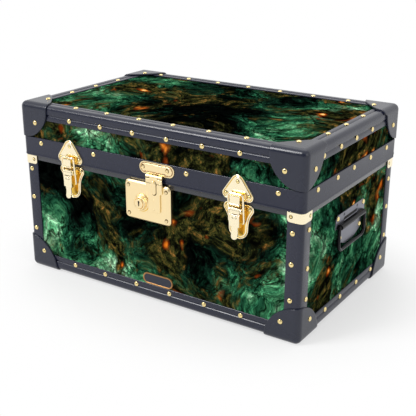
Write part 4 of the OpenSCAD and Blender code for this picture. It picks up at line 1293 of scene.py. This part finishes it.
@dataclass
class DrawCatches:
    """The two draw-bolt catches."""

    bench: Bench
    x: float = 154.5
    pin: Pair = (186.5, 167.5)
    half: float = 8.0
    hook_half: float = 7.6
    finger_half: float = 5.4
    ear: Pair = (9.2, 4.4)
    barrel: Pair = (4.7, 1.6)
    # how far an edge is eased, and the angle in degrees past which it is
    softened: Pair = (0.25, 50.0)
    strike_circles: tuple[Triple, ...] = ((-17.5, 207.4, 7.6), (17.5, 207.4, 7.6), (0, 226.0, 11.3))

    def build(self) -> None:
        """Makes the plates, levers and pins."""
        for side, sign in zip(("left", "right"), BOTH):
            lever = f"catch_lever_{side}"
            for name, body, surface, parts in (
                # painted shade: deeper brass on the hook's sides and top, the base's floor, the
                # lever's sides and the grooves
                ("catch_hook_shade", "lid", Surface.BRASS_IN_SHADE, self.hook_sides()),
                ("catch_pan_shade", "box", Surface.BRASS_IN_SHADE, self.pan()),
                ("catch_lever_side_shade", lever, Surface.BRASS_IN_SHADE, self.lever_sides()),
                # painted shade: dark lines on the lever, and dark rings showing above the rivets'
                # heads
                ("catch_lever_shade_lines", lever, Surface.PAINTED_SHADE, self.marks()),
                ("catch_base_rivet_shade", "box", Surface.PAINTED_SHADE, self.rivet_shadows(160.95, BASE_RIVETS[:2])),
                ("catch_strike_rivet_shade", "lid", Surface.PAINTED_SHADE, self.rivet_shadows(163.95, STRIKE_RIVETS)),
            ):
                shell = joined(parts).moved(sign * self.x, 0).on(Face.FRONT)
                self.bench.make(f"{name}_{side}", body, surface, shell)
            for name, body, parts in (
                ("catch_strike", "lid", self.strike()),
                ("catch_base", "box", self.base()),
                ("catch_lever", lever, self.lever()),
            ):
                shell = joined(parts).moved(sign * self.x, 0).on(Face.FRONT)
                piece = self.bench.shape(f"{name}_{side}_pressed", shell)
                self.bench.ease(piece, *self.softened)
                self.bench.hand_over(piece, body, Surface.BRASS, f"{name}_{side}")
        self.bench.paint(Surface.BRASS, "catch_pins")

    def cheeks(self, side: Line, middle: float, near: float, far: float) -> list[Shell]:
        """Makes a pair of upright walls.

        Args:
            side: a wall's outline, as distances up and out.
            middle: how far each is from the catch's middle.
            near: the part of its thickness on its left.
            far: the part on its right.

        Returns:
            The walls.
        """
        return [prism(side, s * middle - near, s * middle + far, along=0) for s in BOTH]

    def strike(self) -> list[Shell]:
        """Makes the strike plate with its beaded border, and the hook for the loop.

        Returns:
            Its parts.
        """
        border = [(0, 162), (0, 163.1), (0.25, 163.7), (0.8, 164), (1.4, 163.9)]
        border += [(1.8, 163.4), (2.3, 163.15), (2.8, 163.4), (3.3, 163.85), (4, 164)]
        hook = [(202, 162.5), (209.2, 162.5), (209.2, 170.6), (208.7, 171.6), (207.6, 172)]
        hook += [(197.4, 172), (197.2, 171.3), (196.5, 171.3), (196.3, 172), (195, 172)]
        hook += [(194.6, 171.6), (194.6, 170.9), (195.7, 170.3), (196.8, 169.5)]
        outline = ring_round(self.strike_circles)
        return [plate(outline, border), prism(hook, -self.half, self.half, along=0)]

    def groove(self, outline: Points, level: float) -> Shell:
        """Makes the floor of the groove inside a plate's bead, painted deeper brass as shade."""
        low, high = level - 0.1, level + 0.25
        return plate(outline, [(1.85, low), (1.85, high), (2.75, high), (2.75, low)], loop=True)

    def hook_sides(self) -> list[Shell]:
        """Makes the strike's parts painted deeper brass as shade: the hook's sides and top, and the
        groove.

        Returns:
            The parts.
        """
        side = [(200.9, 164.2), (208.9, 164.2), (208.9, 170.4), (208.3, 171.2), (196, 171.2)]
        side += [(196, 170.5), (197.2, 169.6)]
        top = block((209.1, 209.26), (164.2, 170.3), -self.hook_half, self.hook_half, along=0)
        groove = self.groove(ring_round(self.strike_circles), 163.15)
        return [*self.cheeks(side, self.half, 0.05, 0.05), top, groove]

    def lever_sides(self) -> list[Shell]:
        """Makes the lever's sides, painted deeper brass as shade."""
        side = [(184.5, 165.8), (171, 163), (166.3, 163), (163.3, 165.8), (163.3, 170.9)]
        return self.cheeks([*side, (182, 170.9)], self.half, 0.05, 0.06)

    def rivet_shadows(self, level: float, spots: Sequence[Pair]) -> list[Shell]:
        """Makes the rings of painted shade round the rivets' heads, set high so that the shade
        shows above them.
        """
        return [disc(3.1, 0, 0.1).moved(x, z + 0.4, level) for x, z in spots]

    def marks(self) -> list[Shell]:
        """Makes the painted shade lines of the lever's groove and of the dimple below it.

        Returns:
            The lines.
        """
        groove = [(x, z, 0.34) for x in (-5.96, 5.96) for z in (181.69, 181.71)]
        dimple = [(-2.6, 176.6, 1.3), (2.6, 176.6, 1.3)]
        return [
            plate(ring_round(groove, 48), [(0, 171.2), (0, 171.55)]),
            plate(ring_round(dimple, 48), [(0, 171.9), (0, 172.06)]),
        ]

    def pan(self) -> list[Shell]:
        """Makes the base plate's floor inside its beaded border and its groove, painted deeper
        brass as shade.
        """
        floor = plate(inset(self.base_outline(), 4.4), [(0, 160.9), (0, 161.04)])
        return [floor, self.groove(self.base_outline(), 160)]

    def base_outline(self) -> Points:
        """Draws the base plate's outline: two lobes, a waist and a round foot.

        Returns:
            The outline.
        """
        right = arc(0, 157, 16, -90, 0, 20)
        right += [(16.1, 161), (16.4, 165), (17, 169), (17.9, 172.6), (19.2, 176), (20.8, 178.9)]
        right += arc(17, 187.2, 7.8, -46, 90, 22)
        return mirrored(right, 1)

    def base(self) -> list[Shell]:
        """Makes the base plate with its beaded border and ears.

        Returns:
            Its parts.
        """
        border = [(0, 158), (0, 159.9), (0.3, 160.6), (0.9, 161), (1.5, 160.9)]
        border += [(1.9, 160.3), (2.3, 160), (2.8, 160.3), (3.3, 160.8), (4, 161)]
        (z, level), (apart, r) = self.pin, self.ear
        ear = [(z - r, 160.5), (z + r, 160.5), *arc(z, level, r, 0, 180)]
        return [plate(self.base_outline(), border), *self.cheeks(ear, apart, 0.9, 0.9)]

    def lever(self) -> list[Shell]:
        """Makes the lever: a grooved face over a barrel, two cheeks, a button and a finger.

        Returns:
            Its parts.
        """
        half, wide = self.half, self.finger_half
        face = [(191, 170.2), (191, 171.3), (190.6, 172), (182.3, 172), (182.1, 171.3)]
        face += [(181.3, 171.3), (181.1, 172), (164.2, 172), (163.2, 171.7), (162.6, 171)]
        face += [(162.8, 169.7), (190.2, 169.7)]
        cheek = [(186.5, 171.5), (186, 163.5), (171, 162.3), (166, 162.3), (162.5, 165.4)]
        right = [(wide, z) for z in np.linspace(151, 164.5, 10)]
        outline = np.array([*arc(0, 149.2, wide, -180, 0, 20), *mirrored(right)])
        edge = [(0, 0), (0, 1.6), (0.3, 2), (0.9, 2.2), (2, 2.3)]
        finger = plate(outline, edge)
        lift = np.interp(finger.points[:, 1], [143, 154, 164.5], [171, 168.7, 169.5])
        finger.points[:, 2] += lift
        dome = [(0, 171.5), (3.6, 171.5), (3.6, 172), (3.2, 172.3), (2, 172.55), (0, 172.6)]
        button = lathe(dome, 32)
        button.points *= (1, 0.62, 1)
        return [
            prism(face, -half, half, along=0),
            tube(-half, half, self.pin, *self.barrel),
            *self.cheeks([*cheek, (162.5, 171)], half - 1, 1, 1),
            finger,
            button.moved(0, 177.6),
        ]


@dataclass
class LockSet:
    """The lock, its key plug and the hasp."""

    bench: Bench
    key: Pair = (-12.0, 164.0)
    keyway_r: float = 4.6
    hasp_x: float = 12.5
    pin: Pair = (208.5, 165.6)
    knuckle: float = 2.6
    bore: float = 1.35
    case_level: float = 166.0
    plate_level: float = 164.0
    hasp_back: float = 166.3
    hasp_end: float = 153.0

    def build(self) -> None:
        """Makes the lock's and the hasp's pieces."""
        self.case()
        for node, body in (("hasp_staple", "hasp"), ("key_plug", "key_plug")):
            self.bench.hand_over(self.bench.eased(node, 0.2), body, Surface.GOLD, node)
        self.bench.paint(Surface.GOLD, "hasp_pin")
        self.bench.paint(Surface.BOLT, "lock_bolt")
        self.collar()
        self.hasp_plate()
        self.hasp()
        # a black disc of painted shade deep in the key plug's hole
        hole = disc(self.keyway_r, 172.6, 172.9, 32).moved(*self.key).on(Face.FRONT)
        self.bench.make("keyway_painted_shade", "key_plug", Surface.DARK, hole)

    def screws(
        self, name: str, spots: Sequence[Pair], level: float, sheet: Piece, body: str, node: str
    ) -> None:
        """Sinks raised-head screws into a plate, with a ring of painted shade round each head.

        Args:
            name: the screws' name.
            spots: their places, right and up.
            level: the plate's face.
            sheet: the plate.
            body: the body that they ride on.
            node: the CAD node that they are shown for.
        """
        shapes = {
            "dish": [(0, -0.8), (3, -0.8), (3.6, 0), (3.6, 0.4), (0, 0.4)],
            "head": [(0, -0.9), (2.3, -0.9), (2.3, -0.4), (2, 0.1), (1.2, 0.45), (0, 0.55)],
            # a ring of painted shade at the bottom of each dish
            "dish_shade": [(0, -0.95), (3.1, -0.95), (3.1, -0.7), (0, -0.7)],
        }
        made = {}
        for kind, profile in shapes.items():
            # each head sits a little low in its dish, so that the painted shade shows above it
            fall = -0.45 if kind == "head" else 0
            parts = [lathe(profile, 32).moved(x, z + fall, level) for x, z in spots]
            made[kind] = joined(parts).on(Face.FRONT)
        self.bench.carve(sheet, made["dish"])
        self.bench.make(name, body, Surface.GOLD, made["head"], node)
        self.bench.make(name + "_grime", body, Surface.PAINTED_SHADE, made["dish_shade"])

    def case(self) -> None:
        """Makes the lock's pressed case and its screws."""
        case = self.bench.eased("lock_case", 0.45)
        spots = [(x, z) for x in (-36.75, 33.25) for z in (143, 188)]
        self.screws("lock_screw_heads", spots, self.case_level, case, "box", "lock_screws")
        self.bench.hand_over(case, "box", Surface.GOLD, "lock_case")

    def hasp_plate(self) -> None:
        """Makes the plate that the hasp hangs from, cut back round the barrel."""
        shape = [(-3.2, 210.2), (-3.2, 211.7), (28.2, 211.7), (28.2, 210.2)]
        shape += arc(36.9, 219.8, 9.6, -90, 90, 24) + arc(-6.9, 219.8, 9.6, 90, 270, 24)
        outline = np.array(shape)
        border = [(0, 162), (0, 162.9), (0.25, 163.35), (0.7, 163.5), (1.9, 163.5)]
        border += [(2.2, 162.7), (3, 162.7), (3.3, 163.85), (3.5, 164)]
        piece = self.bench.shape("hasp_plate_pressed", plate(outline, border).on(Face.FRONT))
        spots = [(-9.5, 220.65), (34.5, 220.65)]
        level = self.plate_level
        self.screws("hasp_screw_heads", spots, level, piece, "lid", "hasp_screws")
        self.bench.hand_over(piece, "lid", Surface.GOLD, "hasp_plate")
        # the ring in the groove is painted shade, in the darkened brass; the dot is a small dark
        # disc
        line = plate(outline, [(2.1, 162.9), (2.1, 163.5), (2.55, 163.5), (2.55, 162.9)], loop=True)
        dot = disc(0.9, 163.9, 164.04, 20).moved(self.hasp_x + 2.5, 213.4)
        marks = joined([line, dot]).on(Face.FRONT)
        self.bench.make("hasp_plate_groove_shade", "lid", Surface.ANTIQUE_AND_SHADE, marks)
        parts = []
        for low, high in ((-2.35, 4.85), (20.15, 27.35)):
            parts.append(tube(low, high, self.pin, self.knuckle, self.bore))
            parts.append(block((207.8, 211.5), (162.2, 165.6), low, high, along=0))
        knuckles = joined(parts).on(Face.FRONT)
        self.bench.make("hasp_plate_knuckles", "lid", Surface.GOLD, knuckles)

    def hasp(self) -> None:
        """Makes the hasp: a barrel, a leaf with a tongue, the half-round rib on it, and painted
        shade by them.
        """
        back, x, end = self.hasp_back, self.hasp_x, self.hasp_end
        right = arc(7, end + 4, 4, -90, -5, 8) + [(11, end + 4), (11, 172), (11, 181)]
        right += [(11.6, 182.6), (13.2, 183.4), *arc(13.8, 184.6, 1.2, -90, 0, 6), (15, 198.4)]
        leaf = mirrored(right) + (x, 0)
        top = np.array([(-15, 198.4), (15, 198.4), (15, 205.4), (-15, 205.4)]) + (x, 0)
        rib = ring_round([(x + 0.4, 185.2, 4), (x + 0.4, 198.2, 4)])
        swell = [(0, 1.9), (0.15, 2.6), (0.6, 3.1), (1.3, 3.45), (2.2, 3.65), (3.2, 3.72)]
        knob = lathe([(0, 3), (2.1, 3), (2, 3.9), (1.3, 4.4), (0, 4.6)], 28)
        riser = [(0.1, 0.2), (0.1, 1.6), (8.5, 1.6), (8.5, 0.2)]
        parts = [
            plate(leaf, [(0, 0), (0, 1.5), (0.25, 1.85), (0.6, 2)]).moved(0, 0, back),
            plate(top, [(0, 0), (0, 1.3), (0.25, 1.6), (0.6, 1.7)]).moved(0, 0, back),
            prism(riser, -7.3, 7.3, along=0).moved(x, 200, back),
            tube(x - 7.35, x + 7.35, self.pin, self.knuckle, self.bore),
            plate(rib, swell).moved(0, 0, back),
            knob.moved(x - 0.4, 200.6, back),
        ]
        pressed = joined(parts).on(Face.FRONT)
        self.bench.make("hasp_pressed", "hasp", Surface.GOLD, pressed, "hasp")
        # painted shade: a dark rim right of and below the rib, lines under the leaf's step and the
        # barrel, a dark hole
        wide = (x - 14.4, x + 14.4)
        shade = [
            plate(rib + (0.55, -0.5), [(-0.5, 1.9), (-0.5, 2.03)]),
            block(wide, (198.15, 198.65), 1.5, 1.82),
            block(wide, (205.3, 206), 0.2, 0.9),
            disc(1.5, 1.9, 2.06).moved(x + 4.6, 197.5),
        ]
        self.bench.make("hasp_painted_shade", "hasp", Surface.PAINTED_SHADE, joined(shade).on(Face.FRONT, back))

    def collar(self) -> None:
        """Turns the boss round the key plug, with painted shade round its foot."""
        profile = [(7.55, 0), (13.5, 0), (13.5, 0.8), (13.2, 1.4), (12.6, 1.75), (11.9, 1.8)]
        profile += [(11.6, 2.2), (11.2, 3.6), (10.7, 5.2), (10.3, 6.2), (9.9, 6.7), (9.3, 6.95)]
        profile += [(8.6, 6.95), (8.2, 6.6), (7.9, 6), (7.55, 5.8)]
        boss = lathe(profile).moved(*self.key).on(Face.FRONT, self.case_level)
        self.bench.make("key_collar_turned", "box", Surface.GOLD, boss, "key_collar")
        # a disc of painted shade round the boss's foot, set off to the right and down
        foot = lathe([(7.6, -0.2), (14.1, -0.2), (14.1, 0.06), (7.6, 0.06)])
        foot = foot.moved(self.key[0] + 0.35, self.key[1] - 0.35).on(Face.FRONT, self.case_level)
        self.bench.make("key_collar_shade", "box", Surface.BRASS_IN_SHADE, foot)


@dataclass
class Handles:
    """The end handles' plates, each with a rolled barrel, a slot and two holes."""

    bench: Bench
    z: float = 141.3
    barrel_half: float = 42.1
    barrel_r: float = 4.2
    slot: Pair = (22.0, 3.0)
    slot_floor: Pair = (21.9, 2.45)
    slot_z: float = 7.6
    hole: Pair = (23.5, 14.4)

    def build(self) -> None:
        """Makes both plates."""
        half, r, z = self.barrel_half, self.barrel_r, self.z
        shape = [(-41, -2), (-41, -24), (-15, -34.5), (15, -34.5), (41, -24), (41, -2)]
        shape += [(51.5, -2), (51.5, 13.4), (45.5, 19.4), (-45.5, 19.4), (-51.5, 13.4), (-51.5, -2)]
        outline = np.array(shape, float) + (0, z)
        edge = [(0, 253), (0, 254), (0.2, 254.4), (0.6, 254.6)]
        dish = lathe([(0, 253.7), (2, 253.7), (3.1, 254.65), (3.1, 255), (0, 255)], 32)
        cut, floor = (
            ring_round([(-x, z + self.slot_z, radius), (x, z + self.slot_z, radius)], 48)
            for x, radius in (self.slot, self.slot_floor)
        )
        cuts = [plate(cut, [(0.6, 253.8), (0, 254.5), (0, 255)])]
        cuts += [dish.moved(s * self.hole[0], z + self.hole[1]) for s in BOTH]
        # a black oblong and discs of painted shade at the bottom of the slot and the holes
        dark = [plate(floor, [(0, 253.7), (0, 253.95)])]
        hollow = disc(2.3, 253.6, 253.9, 32)
        dark += [hollow.moved(s * self.hole[0], z + self.hole[1]) for s in BOTH]
        roll = block((z - r, z + r), (253, 257.8), -half, half, along=0)
        barrel = joined([roll, tube(-half, half, (z, 257.8), r, 2.8)])
        for side, (_, face) in zip(("left", "right"), ENDS):
            self.bench.make(f"handle_barrel_{side}", "box", Surface.ENAMEL, barrel.on(face))
            name = f"handle_plate_{side}"
            piece = self.bench.shape(name + "_pressed", plate(outline, edge).on(face))
            self.bench.carve(piece, joined(cuts).on(face))
            self.bench.hand_over(piece, "box", Surface.NICKEL, name)
            recess = joined(dark).on(face)
            self.bench.make(f"handle_hole_shade_{side}", "box", Surface.DARK, recess)


@dataclass
class Fittings:
    """The badge, the corner clips and the hinges."""

    bench: Bench
    sheet_ease: float = 0.3
    screw_ease: float = 0.12
    clip_z: float = 192.1
    badge_circles: tuple[Triple, ...] = ((-9, 37.1, 9.5), (29, 37.1, 9.5))

    def build(self) -> None:
        """Makes the small fittings."""
        for node, body, width in (
            ("corner_clips", "box", self.sheet_ease),
            ("hinge_body_leaves", "box", self.sheet_ease),
            ("hinge_lid_leaves", "lid", self.sheet_ease),
            ("hinge_body_screws", "box", self.screw_ease),
            ("hinge_lid_screws", "lid", self.screw_ease),
        ):
            self.bench.hand_over(self.bench.eased(node, width), body, Surface.BRASS, node)
        long_side, end = (236.6, 161), (141.6, 256)
        places = {Face.FRONT: long_side, Face.BACK: long_side, Face.RIGHT: end, Face.LEFT: end}
        # discs of painted shade under the corner clips' rivets
        dimple = disc(2.9, -0.1, 0.05)
        rounds = [
            dimple.moved(side * across, self.clip_z).on(face, level)
            for face, (across, level) in places.items()
            for side in BOTH
        ]
        self.bench.make("clip_rivet_shade", "box", Surface.PAINTED_SHADE, joined(rounds))
        self.bench.paint(Surface.FIELD, "badge_field")
        self.bench.paint(Surface.BRASS, "hinge_pins")
        bead = [(0, 158), (0, 158.9), (0.3, 159.5), (0.9, 159.8), (1.6, 159.8), (2.2, 159.5)]
        bead += [(2.5, 159), (2.5, 158)]
        ring = plate(ring_round(self.badge_circles), bead, loop=True).on(Face.FRONT)
        self.bench.make("badge_ring", "box", Surface.ANTIQUE_AND_SHADE, ring, "badge_frame")


@dataclass
class Studio:
    """The floor, the light and the camera."""

    sky: float = 0.5
    room_way: Triple = (0.45, -0.89, 0.0)
    room_level: float = 0.18
    floor_half: float = 12.0
    # each lamp's place and size in metres, and its watts
    lamps: tuple[tuple[str, Triple, float, float], ...] = (
        ("left key", (-1.5, -2.1, 2.2), 1.1, 62.0),
        ("right fill", (2.4, -0.7, 1.2), 1.8, 16.0),
        ("top bank", (-0.2, 0.9, 2.6), 2.0, 16.0),
    )
    lens: float = 70.61
    camera_place: Triple = (702.338, -1074.348, 585.202)
    camera_turn: Triple = (69.518, -0.160, 33.292)

    def lamp(self, name: str, place: Triple, size: float, watts: float) -> None:
        """Hangs a soft square lamp that looks at the box.

        Args:
            name: the lamp's name.
            place: where it hangs, in metres.
            size: the length of its side, in metres.
            watts: its power.
        """
        light = bpy.data.lights.new(name, "AREA")
        light.shape, light.size, light.energy = "SQUARE", size, watts
        lamp = put(name, light)
        lamp.location = place
        way = Vector((0, 0, 0.15)) - Vector(place)
        lamp.rotation_euler = way.to_track_quat("-Z", "Y").to_euler()

    def seen(self, tree: Tree) -> Node:
        """Tells the rays from the camera, from gloss and through glass from the rest.

        Args:
            tree: the tree of the world or of a material.

        Returns:
            The node that gives 1 for them, and 0 for the rest.
        """
        rays = add(tree, "LightPath").outputs
        shown = {0: rays["Is Camera Ray"], 1: rays["Is Glossy Ray"]}
        shown = {0: add(tree, "Math", shown, operation="MAXIMUM"), 1: rays["Is Transmission Ray"]}
        return add(tree, "Math", shown, operation="MAXIMUM")

    def room(self, tree: Tree) -> Node:
        """Gives the studio's own brightness: a white sweep and ceiling with a dim room in front.

        Args:
            tree: the world's tree.

        Returns:
            The node that gives the brightness for each direction.
        """
        way = add(tree, "TexCoord").outputs["Generated"]
        ahead = add(tree, "VectorMath", {0: way, 1: self.room_way}, operation="DOT_PRODUCT")
        span = {"Value": ahead, "From Min": 0.0, "From Max": 0.45}
        side = add(tree, "MapRange", span, interpolation_type="SMOOTHSTEP")
        height = add(tree, "SeparateXYZ", {"Vector": way}).outputs["Z"]
        span = {"Value": height, "From Min": 0.62, "From Max": 0.8, "To Min": 1.0, "To Max": 0.0}
        low = add(tree, "MapRange", span, interpolation_type="SMOOTHSTEP")
        dim = add(tree, "Math", {0: side, 1: low}, operation="MULTIPLY")
        return add(tree, "MapRange", {"Value": dim, "To Min": 1.0, "To Max": self.room_level})

    def sky_light(self) -> None:
        """Makes the world: the studio where it is seen, and an even soft light elsewhere."""
        world = bpy.data.worlds.new("studio")
        bpy.context.scene.world = world
        tree = emptied(world)
        levels = {0: self.seen(tree), 2: self.sky, 3: self.room(tree)}
        strength = add(tree, "Mix", levels, data_type="FLOAT")
        # a camera ray sees the background white from every side
        direct = add(tree, "LightPath").outputs["Is Camera Ray"]
        shown = add(tree, "Math", {0: strength, 1: direct}, operation="MAXIMUM")
        glow = add(tree, "Background", {"Color": (1, 1, 1, 1), "Strength": shown})
        add(tree, "OutputWorld", {"Surface": glow})

    def floor(self) -> None:
        """Lays the pale floor, which fades to white away from the box."""
        material = bpy.data.materials.new("pale floor")
        tree = emptied(material)
        place = add(tree, "TexCoord").outputs["Object"]
        oval = add(tree, "VectorMath", {0: place, 1: (0.82, 1.0, 1.0)}, operation="MULTIPLY")
        away = add(tree, "VectorMath", {0: oval}, operation="LENGTH")
        span = {"Value": away, "From Min": 0.22, "From Max": 0.37, "To Min": 0.55}
        fade = add(tree, "MapRange", span, interpolation_type="SMOOTHSTEP")
        share = add(tree, "Math", {0: fade, 1: self.seen(tree)}, operation="MULTIPLY")
        matt = add(tree, "BsdfDiffuse", {"Color": (0.92, 0.92, 0.92, 1)})
        white = add(tree, "Emission", {"Color": (1, 1, 1, 1), "Strength": 1.0})
        mixed = add(tree, "MixShader", {0: share, 1: matt, 2: white})
        add(tree, "OutputMaterial", {"Surface": mixed})
        mesh = bpy.data.meshes.new("floor")
        half = self.floor_half
        spots = [(-half, -half, 0), (half, -half, 0), (half, half, 0), (-half, half, 0)]
        mesh.from_pydata(spots, [], [[0, 1, 2, 3]])
        mesh.materials.append(material)
        put("floor", mesh)

    def camera(self) -> None:
        """Sets up the camera at the photograph's viewing angle."""
        data = bpy.data.cameras.new("camera")
        data.lens, data.sensor_width = self.lens, 36.0
        data.clip_start, data.clip_end = 0.01, 60.0
        camera = put("camera", data)
        camera.location = [c * MM for c in self.camera_place]
        camera.rotation_euler = Euler([math.radians(a) for a in self.camera_turn])
        bpy.context.scene.camera = camera

    def build(self) -> None:
        """Sets up the studio."""
        bpy.context.scene.view_settings.view_transform = "Standard"
        self.sky_light()
        self.floor()
        for lamp in self.lamps:
            self.lamp(*lamp)
        self.camera()


def main() -> None:
    """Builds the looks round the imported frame."""
    logging.basicConfig(level=logging.INFO, format="%(name)s: %(message)s")
    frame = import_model()
    bench = Bench(frame["nodes"])
    nails = heads_tree()
    parts = [
        Carcase(bench),
        Trim(bench),
        CornerCaps(bench),
        Nailing(bench, nails),
        Bars(bench, bar_tree()),
        DrawCatches(bench),
        LockSet(bench),
        Handles(bench),
        Fittings(bench),
        Studio(),
    ]
    for part in parts:
        part.build()
        LOG.info("%s is built", type(part).__name__)


if __name__ == "__main__":
    main()
